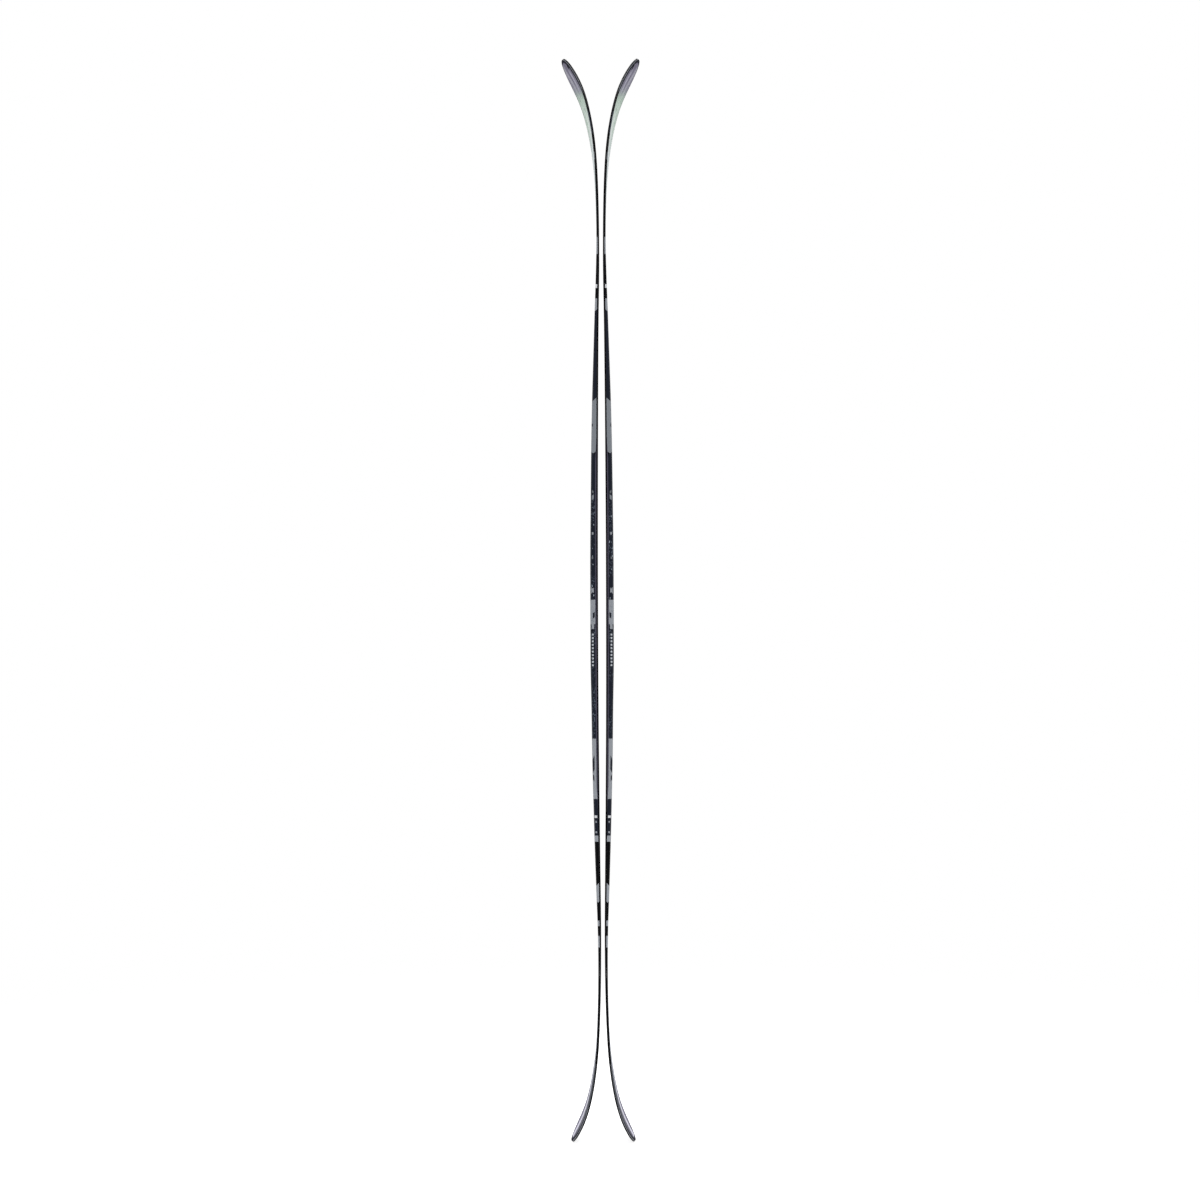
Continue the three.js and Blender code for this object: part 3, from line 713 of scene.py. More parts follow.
# Small marks: (from height, to height, from share up the wall, to share, colour, slant).
WALL_MARKS = [
    (1064, 1071, 0.30, 0.75, MID, 6), (1074, 1078, 0.35, 0.7, SHADE, -6),
    (1006, 1010, 0.35, 0.7, GREY, 0), (966, 970, 0.4, 0.7, SHADE, 0),
    (912, 917, 0.3, 0.8, GREY, 10), (912, 917, 0.3, 0.8, GREY, -10),
    (868, 877, 0.10, 0.5, NAVY, 6), (851, 860, 0.25, 0.75, GREY, 0),
    (620, 643, 0.45, 1.3, NAVY, 14), (600, 609, 0.6, 1.3, NAVY, -8),
    (541, 545, 0.2, 0.85, PALE, 0), (533, 536, 0.35, 0.65, GREY, 0),
    (516, 519, 0.3, 0.7, GREY, 0), (1183, 1188, 0.75, 1.3, NAVY, 0),
]
# Top print, as (height, colour): the field, the ink of its strokes, and the border.
FIELD = [
    (0, srgb(214, 212, 226)), (60, srgb(221, 219, 231)), (120, srgb(232, 235, 239)),
    (330, srgb(196, 199, 206)), (455, srgb(130, 131, 152)), (560, srgb(44, 48, 63)),
    (880, srgb(27, 31, 42)), (1180, srgb(38, 43, 57)), (1330, srgb(118, 124, 142)),
    (1470, srgb(210, 218, 222)), (1630, srgb(244, 248, 250)), (1672, srgb(240, 248, 243)),
    (1718, srgb(208, 226, 213)), (1732, srgb(158, 157, 171)), (1760, srgb(154, 152, 168)),
    (1800, srgb(154, 152, 168)),
]
INK = [
    (0, srgb(190, 188, 204)), (110, srgb(196, 198, 206)), (330, srgb(146, 150, 166)),
    (455, srgb(92, 94, 118)), (560, srgb(88, 92, 116)), (880, srgb(70, 77, 98)),
    (1180, srgb(84, 92, 112)), (1330, srgb(150, 158, 172)), (1470, srgb(176, 188, 192)),
    (1630, srgb(208, 220, 218)), (1672, srgb(188, 208, 194)), (1718, srgb(150, 170, 156)),
    (1738, srgb(120, 116, 134)), (1800, srgb(116, 112, 130)),
]
BORDER = [
    (0, srgb(30, 30, 36)), (20, srgb(74, 73, 84)), (70, srgb(82, 81, 92)),
    (110, srgb(112, 114, 122)), (150, BLACK), (1575, BLACK), (1620, srgb(124, 136, 130)),
    (1700, srgb(118, 132, 124)), (1732, srgb(58, 58, 66)), (1800, srgb(44, 44, 52)),
]
BOOT_CENTRE = 880.0


def wall_print(g, up):
    """Print on the side wall; up runs from 0 at the lip to 1 at the top."""
    z = g.height
    slant = up - 0.5

    def leaning(lean):
        return slant.times(lean, plus=z) if lean else z

    wall = BLACK
    for low, high, colour, lean in WALL_BLOCKS:
        wall = g.mix(leaning(lean).band(low, high, soft=0.5), wall, colour)
    # speckle and larger flecks on the dark blocks underfoot
    dots = (g.cells(scale=420, stretch=(1, 1, 0.75)) < 0.34) * z.band(672, 1062, soft=10)
    patches = g.noise(scale=26, detail=2)
    dots = dots * g.ramp(patches, [(0.42, 0.0), (0.62, 0.75)])
    wall = g.mix(dots, wall, srgb(96, 106, 118))
    fleck = g.cells(scale=230, stretch=(1, 1, 0.4), shift=(0.3, 0.1, 0.7))
    wall = g.mix((fleck < 0.16) * z.band(900, 1062, soft=6), wall, srgb(150, 160, 170))
    for low, high, up_low, up_high, colour, lean in WALL_MARKS:
        mark = leaning(lean).band(low, high, soft=0.5) * up.band(up_low, up_high, soft=0.06)
        wall = g.mix(mark, wall, colour)
    # an even row of small bars, 5.6 mm apart
    pitch = g.math("FRACT", (z - 789.0) / 5.6)
    bars = pitch.band(0.18, 0.72, soft=0.12) * up.band(0.36, 0.68, soft=0.08)
    wall = g.mix(z.band(790, 846, soft=0.5) * bars * 0.9 if False else
                 (z.band(790, 846, soft=0.5) * bars) * 0.9, wall, srgb(188, 194, 200))
    # a thin pale line low on the wall round both ends, black above it
    ends = g.larger(z.above(1736, soft=8), z.below(62, soft=30))
    wall = g.mix(ends * up.band(-0.05, 0.34, soft=0.08), wall, srgb(114, 116, 122))
    return g.mix(ends * up.above(0.62, soft=0.08), wall, BLACK)


def top_strokes(g, shape):
    """Contour strokes of uneven width, with soft sides."""
    lines = g.math("PINGPONG", shape * 15.0, 0.5)
    width = g.noise(scale=9, detail=1, stretch=(0, 1, 0.5), shift=(0, 3, 1))
    hard = lines < width.times(0.22, plus=-0.005)
    soft = g.ramp(lines, [(0.0, 1.0), (0.12, 0.75), (0.2, 0.0)])
    return hard.times(0.55, plus=soft * 0.4, clamp=True)


def top_washes(g, field, ink, stroke):
    """The field with its strokes, soft washes and, at the pale ends, lengthwise streaks."""
    top = g.mix(stroke, field, ink)
    wash = g.noise(scale=7, detail=3, stretch=(0, 1, 0.6))
    top = g.mix(g.ramp(wash, [(0.35, 0.0), (0.75, 0.28)]), top, ink)
    streak = g.noise(scale=34, detail=2.5, rough=0.55, stretch=(0, 1, 0.22), shift=(0, 7, 2))
    pale_ends = 1.0 - g.height.band(420, 1400, soft=120)
    top = g.mix(g.ramp(streak, [(0.50, 0.0), (0.62, 0.85)]) * pale_ends, top, ink)
    return g.mix(g.ramp(streak, [(0.36, 0.55), (0.45, 0.0)]) * pale_ends, top,
                 g.mix(0.5, field, srgb(236, 238, 240)))


def end_print(g, top, stroke, shape, across):
    """Lengthwise bands at the tail, a pale stroke at the tip and a black cap on the tail."""
    z = g.height
    tail = shape.times(70.0, plus=z).below(165, soft=30)
    wavy = across + (shape - 0.5) * 9.0
    # dark along the front, pale in the middle, lavender along the back
    top = g.mix(wavy.below(-13, soft=4) * tail * 0.92, top,
                g.mix(stroke, srgb(84, 84, 93), srgb(104, 105, 112)))
    top = g.mix(wavy.above(12, soft=4) * tail * 0.95, top,
                g.mix(stroke, srgb(126, 124, 139), srgb(112, 110, 126)))
    pale = (z - 1755.0).times(-0.16, plus=wavy).band(-30, -14, soft=7)
    pale = pale * z.band(1738, 1776, soft=12)
    top = g.mix(pale * 0.75, top, srgb(190, 189, 204))
    return g.mix(abs(across).times(-0.12, plus=z).below(5.0, soft=1.0), top, BLACK)


def border_print(g, top, along, ink, inward, across):
    """A dark border that follows the outline, with a fine pinstripe beside it."""
    z = g.height
    tone = g.ramp(along, BORDER, span=CHORD)
    # extra width in mm: at both ends, and along the back side below the tip
    wide = g.larger(z.above(1732, soft=40) * 1.6, z.below(110, soft=80) * 3.0)
    back = across.above(0.0, soft=8)
    wide = wide + back * z.band(1606, 1736, soft=30) * 3.2
    border = inward.below(wide + 2.4, soft=0.35)
    # left out along the front side below the tip
    border = border * (1.0 - (1.0 - back) * z.band(1606, 1730, soft=14))
    top = g.mix(border, top, tone)
    return g.mix(inward.band(3.4, 3.8, soft=0.2) * 0.45, top, ink)


def top_marks(g, top, across):
    """Three bars on each side at the boot centre, and a black oval beside the tip."""
    z = g.height
    middle = abs(z - BOOT_CENTRE).band(-1, 0.6, soft=0.3) * abs(across).band(17, 27, soft=0.4)
    pair = abs(abs(z - BOOT_CENTRE) - 10.0).band(-1, 0.4, soft=0.3)
    pair = pair * abs(across).band(19, 24, soft=0.4)
    top = g.mix(g.larger(middle, pair), top, srgb(170, 176, 186))
    # centre (1778, -32), half axes 4.2 along and 4.8 across
    oval = g.math("SQRT", ((z - 1778.0) / 4.2) ** 2.0 + ((across + 32.0) / 4.8) ** 2.0)
    return g.mix(oval < 1.0, top, BLACK)


def top_print(g, inward, across):
    """Print on the top face; returns its colour and the mask of its strokes."""
    z = g.height
    # near the tip the colours change on a slant across the ski
    slope = z.above(1560, soft=300) * across.times(0.29, plus=18.5)
    along = (z - slope) / CHORD
    field, ink = g.ramp(along, FIELD, span=CHORD), g.ramp(along, INK, span=CHORD)
    shape = g.noise(scale=15, detail=1.6, rough=0.45, distortion=0.35, stretch=(0, 1, 0.34))
    stroke = top_strokes(g, shape)
    top = top_washes(g, field, ink, stroke)
    top = end_print(g, top, stroke, shape, across)
    top = border_print(g, top, along, ink, inward, across)
    return top_marks(g, top, across), stroke


def satin_gloss(g, inward):
    """Gloss that dies away at grazing angles and is duller on the thin walls of both ends."""
    facing = g.add("ShaderNodeLayerWeight", {"Blend": 0.5}, output="Facing")
    gloss = facing.below(0.68, soft=0.22) * 0.30
    dull = inward.below(0.3, soft=0.6) * g.height.outside(380, 1380, soft=160)
    return gloss * dull.times(-0.7, plus=1.0)


def top_film():
    g = Graph("printed_top_film")
    up, inward, across = (g.attribute(f"lay_{key}") for key in "vwy")
    grain = g.noise(scale=900, detail=2, rough=0.6)
    top, stroke = top_print(g, inward, across)
    colour = g.mix(inward.above(0.0, soft=0.3), wall_print(g, up), top)
    # uneven print density
    mottle = g.noise(scale=60, detail=4, rough=0.6, stretch=(1, 1, 0.6))
    colour = g.mix((mottle - 0.5) * 0.35, colour,
                   g.mix(1.0, colour, srgb(215, 218, 222), mode="MULTIPLY"))
    # nicks along the top corner
    rub = g.noise(scale=140, detail=5, rough=0.7, stretch=(1, 1, 0.25), shift=(0, 0, 4))
    nick = abs(inward + 0.3).fade(reach=1.0) * g.ramp(rub, [(0.60, 0.0), (0.70, 0.8)])
    colour = g.mix(nick * 0.55, colour, srgb(150, 152, 158))
    # hair scratches
    hair = g.noise(scale=120, detail=3, rough=0.7, stretch=(1, 9, 0.5), shift=(2, 0, 0))
    scratch = g.ramp(hair, [(0.66, 0.0), (0.70, 0.35)])
    rough = scratch.times(0.25, plus=grain.times(0.08, plus=0.15))
    rough = nick.times(0.3, plus=rough, clamp=True)
    relief = scratch.times(-0.5, plus=stroke.times(0.30, plus=grain * 0.22))
    return g.finish(colour, rough, Normal=g.bump(relief, strength=0.22, distance=0.00004),
                    Specular_IOR_Level=satin_gloss(g, inward))


# ------------------------------------------------------------------ other materials
def base_inlays(g, s, off_centre):
    """Mask of the inlays: chevrons towards both ends, and a slim stripe each side between them."""
    fold = off_centre.times(1.15, plus=s)
    chevrons = g.math("PINGPONG", fold / 74.0, 1.0) > 0.5
    zone = g.larger(fold.band(222, 518, soft=0.4), fold.band(1258, 1628, soft=0.4))
    chevrons = chevrons * zone * (off_centre < 36.0)
    stripe = s.band(560, 1240, soft=0.4) * off_centre.band(16.0, 19.0, soft=0.2)
    return g.larger(chevrons, stripe)


def running_base():
    g = Graph("stone_ground_base")
    s, y, from_edge = (g.attribute(f"lay_{key}") for key in "syd")
    inlays = base_inlays(g, s, abs(y))
    tone = g.noise(scale=16, detail=4, rough=0.6, stretch=(1, 1, 0.4))
    inlay_tone = g.noise(scale=24, detail=3, rough=0.6, stretch=(1, 1, 0.4))
    colour = g.mix(tone, srgb(18, 19, 24), srgb(34, 36, 43))
    colour = g.mix(inlays, colour, g.mix(inlay_tone, srgb(120, 119, 141), srgb(139, 138, 158)))
    # dry, paler base along the edges
    patches = g.noise(scale=42, detail=5, rough=0.65, stretch=(1, 1, 0.2))
    dry = from_edge.fade(reach=16.0) * g.ramp(patches, [(0.35, 0.0), (0.75, 0.5)])
    colour = g.mix(dry, colour, srgb(120, 122, 128))
    # stone-ground structure: two shallow sets of grooves that cross, and grit
    grooves = s.times(0.12, plus=y).wave(length=0.9) + s.times(-0.12, plus=y).wave(length=0.9)
    grit = g.noise(scale=1500, detail=2, rough=0.6, stretch=(1, 1, 0.05))
    streak = g.noise(scale=260, detail=4, rough=0.7, stretch=(1, 1, 0.03), shift=(0, 0, 7))
    colour = g.mix(g.ramp(streak, [(0.6, 0.0), (0.8, 0.22)]), colour, srgb(96, 98, 106))
    return g.finish(colour, streak.times(0.22, plus=0.33, clamp=True),
                    Normal=g.bump(grooves + grit * 1.6, strength=0.30, distance=0.00003))


def edge_steel():
    g = Graph("ground_edge_steel")
    brush = g.noise(scale=1800, detail=3, rough=0.6, stretch=(1, 1, 0.02))
    tone = g.noise(scale=30, detail=4, rough=0.6, stretch=(1, 1, 0.3))
    # blackened towards both turned-up ends
    colour = g.mix(g.height.outside(380, 1380, soft=160),
                   g.mix(tone, srgb(27, 27, 32), srgb(42, 42, 48)),
                   g.mix(tone, srgb(7, 7, 9), srgb(13, 13, 16)))
    # bare and greyer again on the tail's upturn
    bare = g.ramp(g.math("DIVIDE", g.height, 150.0, clamp=True), [
        (0.0, srgb(44, 44, 49)), (0.4, srgb(62, 62, 67)), (0.62, srgb(82, 83, 88)),
        (1.0, srgb(94, 95, 100))])
    bare = g.mix(tone * 0.3, bare, srgb(40, 40, 44))
    colour = g.mix(g.height.below(138, soft=4), colour, bare)
    spots = g.noise(scale=210, detail=5, rough=0.7, shift=(1, 1, 1))
    rust = g.ramp(spots, [(0.74, 0.0), (0.82, 0.25)])
    colour = g.mix(rust, colour, srgb(72, 50, 38))
    rough = rust.times(0.4, plus=brush.times(0.12, plus=0.12), clamp=True)
    nick = g.noise(scale=90, detail=5, rough=0.8, stretch=(1, 1, 0.6), shift=(4, 0, 0))
    relief = brush * 0.5 + g.ramp(nick, [(0.30, 0.0), (0.38, 1.0)])
    return g.finish(colour, rough, Metallic=1.0,
                    Normal=g.bump(relief, strength=0.4, distance=0.00005))


def plastic(name, dark, light, rough, lines=0.0, scale=700, gloss=0.4):
    """Moulded or machined plastic, with tool lines along the ski when lines is set."""
    g = Graph(name)
    tone = g.noise(scale=34, detail=4, rough=0.55, stretch=(1, 1, 0.35))
    fine = g.noise(scale=scale, detail=3, rough=0.6)
    colour = g.mix(tone, dark, light)
    relief = fine * 1.0
    if lines:
        tool = g.noise(scale=1500, detail=3, rough=0.6, stretch=(1, 1, 0.015), shift=(3, 3, 3))
        relief = tool.times(lines, plus=relief)
        colour = g.mix(g.ramp(tool, [(0.5, 0.0), (0.8, 0.25)]), colour, light)
    scuff = g.noise(scale=120, detail=5, rough=0.75, stretch=(1, 1, 0.4), shift=(0, 5, 5))
    mark = g.ramp(scuff, [(0.64, 0.0), (0.72, 0.5)])
    colour = g.mix(mark, colour, srgb(78, 78, 84))
    rough = mark.times(0.2, plus=fine.times(0.16, plus=rough), clamp=True)
    return g.finish(colour, rough, Normal=g.bump(relief, strength=0.3, distance=0.00005),
                    Specular_IOR_Level=gloss)


def glass_fibre(thread=0.0016):
    g = Graph("glass_fibre_laminate")
    weave = g.axes[1].wave(thread) * g.axes[2].wave(thread)
    fibre = g.noise(scale=1400, detail=3, rough=0.6, stretch=(1, 1, 0.08))
    resin = g.noise(scale=40, detail=4, stretch=(1, 1, 0.5))
    colour = g.mix(resin, srgb(196, 200, 176), srgb(216, 216, 196))
    colour = g.mix(weave.times(0.12, plus=0.12), colour, srgb(150, 158, 128))
    colour = g.mix(g.ramp(fibre, [(0.55, 0.0), (0.8, 0.4)]), colour, srgb(232, 232, 220))
    # the cut edge is inked dark along the sides, and left pale round the tip and the tail
    cut = g.attribute("lay_d").below(0.8, soft=0.3)
    middle = g.height.band(60, 1734, soft=10)
    colour = g.mix(cut * middle, colour, srgb(20, 20, 25))
    colour = g.mix(cut * (1.0 - middle), colour, srgb(114, 116, 122))
    return g.finish(colour, fibre.times(0.2, plus=0.26), Coat_Weight=0.4,
                    Normal=g.bump(weave + fibre, strength=0.3, distance=0.00008))


def wood(name, light, dark, rings_per_metre):
    g = Graph(name)
    x, y, _ = g.axes
    warp = g.noise(scale=26, detail=3, stretch=(1, 1, 0.06))
    rings = warp.times(0.035, plus=x.times(0.6, plus=y)) * rings_per_metre
    rings = g.ramp(g.math("FRACT", rings), [(0.0, 0.0), (0.65, 0.35), (0.93, 1.0), (1.0, 0.0)])
    fibre = g.noise(scale=1500, detail=4, rough=0.7, stretch=(1, 1, 0.012))
    pores = g.noise(scale=2600, detail=2, stretch=(1, 1, 0.03), shift=(2, 2, 2))
    colour = g.mix(rings * 0.6, light, dark)
    colour = g.mix(g.ramp(fibre, [(0.3, 0.35), (0.7, 0.0)]), colour, dark)
    colour = g.mix(g.ramp(pores, [(0.66, 0.0), (0.74, 0.5)]), colour, dark)
    return g.finish(colour, fibre.times(0.2, plus=0.5),
                    Normal=g.bump(fibre + rings * 0.4, strength=0.35, distance=0.0001))


def carbon():
    g = Graph("carbon_tape")
    _, y, z = g.axes
    fibre = g.noise(scale=2600, detail=3, rough=0.6, stretch=(1, 1, 0.006))
    tow = y.wave(length=0.004)
    stitch = abs(y.times(0.6, plus=z).wave(length=0.024)) ** 24.0
    colour = g.mix(fibre, srgb(14, 15, 17), srgb(52, 54, 58))
    # between the stitches the colour is mixed with itself, which leaves it as it is
    colour = g.mix((1.0 - stitch) * 0.0, colour, colour)
    colour = g.mix(stitch * 0.35, colour, srgb(110, 114, 118))
    return g.finish(colour, fibre.times(0.2, plus=0.25), Coat_Weight=0.5,
                    Normal=g.bump(tow.times(0.5, plus=fibre), strength=0.35, distance=0.00008))


def alloy():
    """Sanded metal with patches of glue."""
    g = Graph("sanded_alloy")
    sand = g.noise(scale=1700, detail=4, rough=0.7, stretch=(1, 1, 0.03))
    tone = g.noise(scale=22, detail=3, stretch=(1, 1, 0.5))
    patches = g.noise(scale=55, detail=4, rough=0.6, stretch=(1, 1, 0.6), shift=(3, 1, 0))
    glue = g.ramp(patches, [(0.58, 0.0), (0.66, 0.6)])
    colour = g.mix(tone, srgb(168, 170, 174), srgb(192, 194, 198))
    colour = g.mix(glue, colour, srgb(176, 160, 112))
    return g.finish(colour, sand.times(0.25, plus=0.28), Metallic=1.0 - glue,
                    Normal=g.bump(sand, strength=0.4, distance=0.00006))


def rubber():
    g = Graph("damping_rubber")
    fine = g.noise(scale=1100, detail=3, rough=0.7)
    tone = g.noise(scale=60, detail=3, stretch=(1, 1, 0.4))
    return g.finish(g.mix(tone, srgb(20, 20, 22), srgb(32, 32, 35)), fine.times(0.2, plus=0.7),
                    Normal=g.bump(fine, strength=0.4, distance=0.00005))


# One material for each slot
MATERIALS = {
    "top_film": top_film(),
    "running_base": running_base(),
    "edge_steel": edge_steel(),
    "damping_rubber": rubber(),
    "glass_laminate": glass_fibre(),
    "dense_core": wood("beech_core", light=srgb(196, 152, 106), dark=srgb(140, 96, 60),
                       rings_per_metre=170),
    "light_core": wood("paulownia_core", light=srgb(222, 196, 156), dark=srgb(184, 148, 104),
                       rings_per_metre=95),
    "carbon_tape": carbon(),
    "plate_alloy": alloy(),
    "sidewall_plastic": plastic("machined_sidewall", dark=srgb(50, 47, 62),
                                light=srgb(72, 69, 86), rough=0.34, lines=1.4),
    "spacer_plastic": plastic("moulded_spacer", dark=srgb(52, 52, 56), light=srgb(68, 68, 73),
                              rough=0.5),
    "rim_plastic": plastic("moulded_rim", dark=srgb(7, 8, 10), light=srgb(14, 15, 18), rough=0.36,
                           scale=900, gloss=0.13),
}


# ------------------------------------------------------------------ full-length layers
def top_sheet():
    """Inner skin, rounded lip and outer skin."""
    outer = cap_levels(0, shoulder_r=0.9, corner_r=1.1, steps=4)
    outer[0] = (outer[0][0], RING_LIP + LIP_ROUND)
    inner = cap_levels(SHEET_T, shoulder_r=0.5, corner_r=0.6, steps=2)
    corner_in = cap_points(RING_LIP, RING_TOP)[2][0]
    rise = np.maximum(RING_TOP - RING_LIP, 0.1)
    levels = [(inset, n, np.clip((n - RING_LIP) / rise, 0, 1.0), inset - corner_in)
              for inset, n in [*reversed(inner), (0.14, RING_LIP), *outer]]
    return Solid().closed(levels, cols=14)


def upper_laminate():
    under = cap_levels(CAP_T, shoulder_r=0.3, corner_r=0.4, steps=2)
    over = cap_levels(SHEET_T + GLUE, shoulder_r=0.5, corner_r=0.6, steps=2)
    return Solid().closed([*reversed(under), *over], cols=10)


def lower_laminate():
    """Lies over the edge flanges, and drops between them onto the base sheet."""
    low = EDGE_H + 2 * GLUE + FOIL_T
    top = low + LOWER_LAMINATE_T
    keel, keel_n = EDGE_REACH + GLUE + 0.1, BASE_T + GLUE
    return Solid().closed([
        (keel + 6, keel_n), (keel + 0.15, keel_n), (keel, keel_n + 0.12), (keel, low), (0.36, low),
        (0.3, low + 0.07), (0.3, top - 0.07), (0.36, top), (6, top)], cols=10)


def base_sheet():
    inset = band_width(RING_S) + GLUE
    return Solid().closed([
        (inset + 7, BASE_T), (inset + 0.12, BASE_T), (inset, BASE_T - 0.1), (inset, 0.08),
        (inset + 0.1, 0.0), (inset + 3, 0.0), (inset + 8, 0.0)], cols=20)


# ------------------------------------------------------------------ edges, side walls and rims
def steel_edge(path, flip):
    """Edge with its flange; corners are broken by small chamfers."""
    flange_n = EDGE_H - FLANGE_T
    return Solid().sweep(path, [
        (0.0, 0.1), (0.0, EDGE_H - 0.22), (0.06, EDGE_H - 0.07), (0.22, EDGE_H),
        (EDGE_REACH - 0.15, EDGE_H), (EDGE_REACH, EDGE_H - 0.12), (EDGE_REACH, flange_n + 0.12),
        (EDGE_REACH - 0.15, flange_n), (EDGE_W + 0.12, flange_n), (EDGE_W, flange_n - 0.1),
        (EDGE_W, 0.06), (EDGE_W - 0.06, 0.0), (0.1, 0.0), (0.03, 0.03)], flip)


def edge_foil(path, flip):
    low = FOIL_TOP - FOIL_T
    return Solid().sweep(path, [
        (0.3, low), (0.3, FOIL_TOP), (EDGE_REACH, FOIL_TOP), (EDGE_REACH, low)], flip)


def sidewall(path, flip):
    """Fills the side between the lower laminate and the cap."""
    (foot_in, _), (shoulder_in, shoulder_n), _ = inner_cap()
    lip_n = RING_LIP - GLUE
    return Solid().sweep(path, [
        (SIDEWALL_W, CORE_BOTTOM), (0.13, CORE_BOTTOM), (CAP_INSET, CORE_BOTTOM + 0.06),
        (CAP_INSET, lip_n - 0.1), (0.16, lip_n), (foot_in, lip_n), (shoulder_in, shoulder_n),
        (np.maximum(SIDEWALL_W - 0.6, shoulder_in + 0.4), shoulder_n),
        (SIDEWALL_W, shoulder_n - 0.3)], flip)


def rim(path):
    width, top = band_width(RING_S), FOIL_TOP
    return Solid().sweep(path, [
        (0.0, 0.3), (0.0, top - 0.35), (0.1, top - 0.1), (0.35, top), (width - 0.1, top),
        (width, top - 0.1), (width, 0.08), (width - 0.08, 0.0), (0.3, 0.0), (0.08, 0.08)])


# ------------------------------------------------------------------ core, tape, plate, spacers
def spaced(start, end, extra=()):
    """Stations from start to end, about CORE_STEP apart, with the extra ones exact."""
    count = max(2, int(round((end - start) / CORE_STEP)) + 1)
    stations = np.linspace(start, end, count)
    for e in extra:
        if start < e < end:
            stations = np.append(stations[np.abs(stations - e) > 1.0], e)
    return np.unique(np.concatenate([stations, [start, end]]))


CORE_STATIONS = spaced(*S_CORE, extra=[
    s for low, high in (S_SIDE, S_PLATE) for s in (low - BUTT, low, high, high + BUTT)])


def box_section(y0, y1, n0, n1, chamfer=0.12):
    """Section of a chamfered rectangle; each bound is a number or a function of s."""
    def section(s):
        a, b, low, high = (q(s) if callable(q) else np.full(len(s), float(q))
                           for q in (y0, y1, n0, n1))
        k = np.minimum(chamfer, 0.3 * (high - low))
        return [(a + k, low), (b - k, low), (b, low + k), (b, high - k), (b - k, high),
                (a + k, high), (a, high - k), (a, low + k)]
    return section


def under_cap(s):
    return thickness(s) - CAP_T - GLUE


def core_top(s):
    """Top of the core, lowered under the binding plate."""
    return thickness(s) - CAP_T - GLUE - np.where(between(s, S_PLATE), PLATE_T + GLUE, 0)


def core_center():
    return Solid().loft(CORE_STATIONS, box_section(
        -CENTRE_HALF, CENTRE_HALF, CORE_BOTTOM, lambda s: core_top(s) - TAPE_T - GLUE))


def carbon_tape():
    half = TAPE_HALF - 0.5
    return Solid().loft(CORE_STATIONS, box_section(
        -half, half, lambda s: core_top(s) - TAPE_T, core_top, chamfer=0.05))


def plate_half(s):
    """Half width of the binding plate, with round corners."""
    r = PLATE_CORNER
    from_end = np.minimum(s - S_PLATE[0], S_PLATE[1] - s)
    short = np.clip(r - from_end, 0, r) / r
    return (PLATE_HALF - 0.2) - r * (1 - np.sqrt(np.clip(1 - short**2, 0, 1)))


def binding_plate():
    corner = np.array([0, 0.3, 1.2, 2.7, 5, 7.4])  # extra stations round the corners
    stations = np.unique(np.concatenate(
        [spaced(*S_PLATE), S_PLATE[0] + corner, S_PLATE[1] - corner]))
    return Solid().loft(stations, box_section(
        lambda s: -plate_half(s), plate_half, lambda s: under_cap(s) - PLATE_T, under_cap,
        chamfer=0.05))


def core_inner(flip):
    y0, y1 = sorted((flip * (CENTRE_HALF + GLUE), flip * (INNER_HALF - GLUE)))
    return Solid().loft(CORE_STATIONS, box_section(y0, y1, CORE_BOTTOM, core_top))


def core_outer(flip):
    """Outermost core strip: ends at the side wall, or follows the cap where there is none."""
    def section(s):
        top, half = thickness(s), np.interp(s, HALF_S, HALF_Y)
        foot, shoulder, corner = cap_moved(lip(s), top, CAP_T + GLUE)
        walled = between(s, S_SIDE)
        inner, wall = INNER_HALF + GLUE, half - (SIDEWALL_W + GLUE)
        points = [
            (inner, CORE_BOTTOM),
            (np.where(walled, wall, half - foot[0]), CORE_BOTTOM),
            (np.where(walled, wall, half - shoulder[0]),
             np.where(walled, shoulder[1] - 0.3, shoulder[1])),
            (np.where(walled, wall - 0.25, half - corner[0]), under_cap(s)),
            (inner, under_cap(s)),
        ]
        return [(flip * y, n) for y, n in points]
    return Solid().loft(CORE_STATIONS, section)


def spacer(start, end):
    """Carries the core's thickness on into a turned-up end, between two ring indices."""
    foot, shoulder, corner = inner_cap()
    levels = [(foot[0], np.full(RING, CORE_BOTTOM)), shoulder, corner]
    shares = (-0.75, -0.5, -0.25, 0, 0.25, 0.5, 0.75)
    solid, grid = Solid(), []
    for j in range(start, end + 1):
        if HALF_Y[j] <= 8:
            continue
        side = [(RING_S[j] + inset[j] * RING_IN_S[j],
                 max(RING_Y[j] + inset[j] * RING_IN_Y[j], 0.0), n[j]) for inset, n in levels]
        bottom, _, top = side
        points = side + [(top[0], top[1] * -f, top[2]) for f in shares]
        points += [(s, -y, n) for s, y, n in reversed(side)]
        points += [(bottom[0], bottom[1] * f, bottom[2]) for f in shares]
        grid.append(solid.add(*zip(*points)))
    return solid.tube(np.array(grid))


# ------------------------------------------------------------------ both skis
SIDES = (("back", 1), ("front", -1))


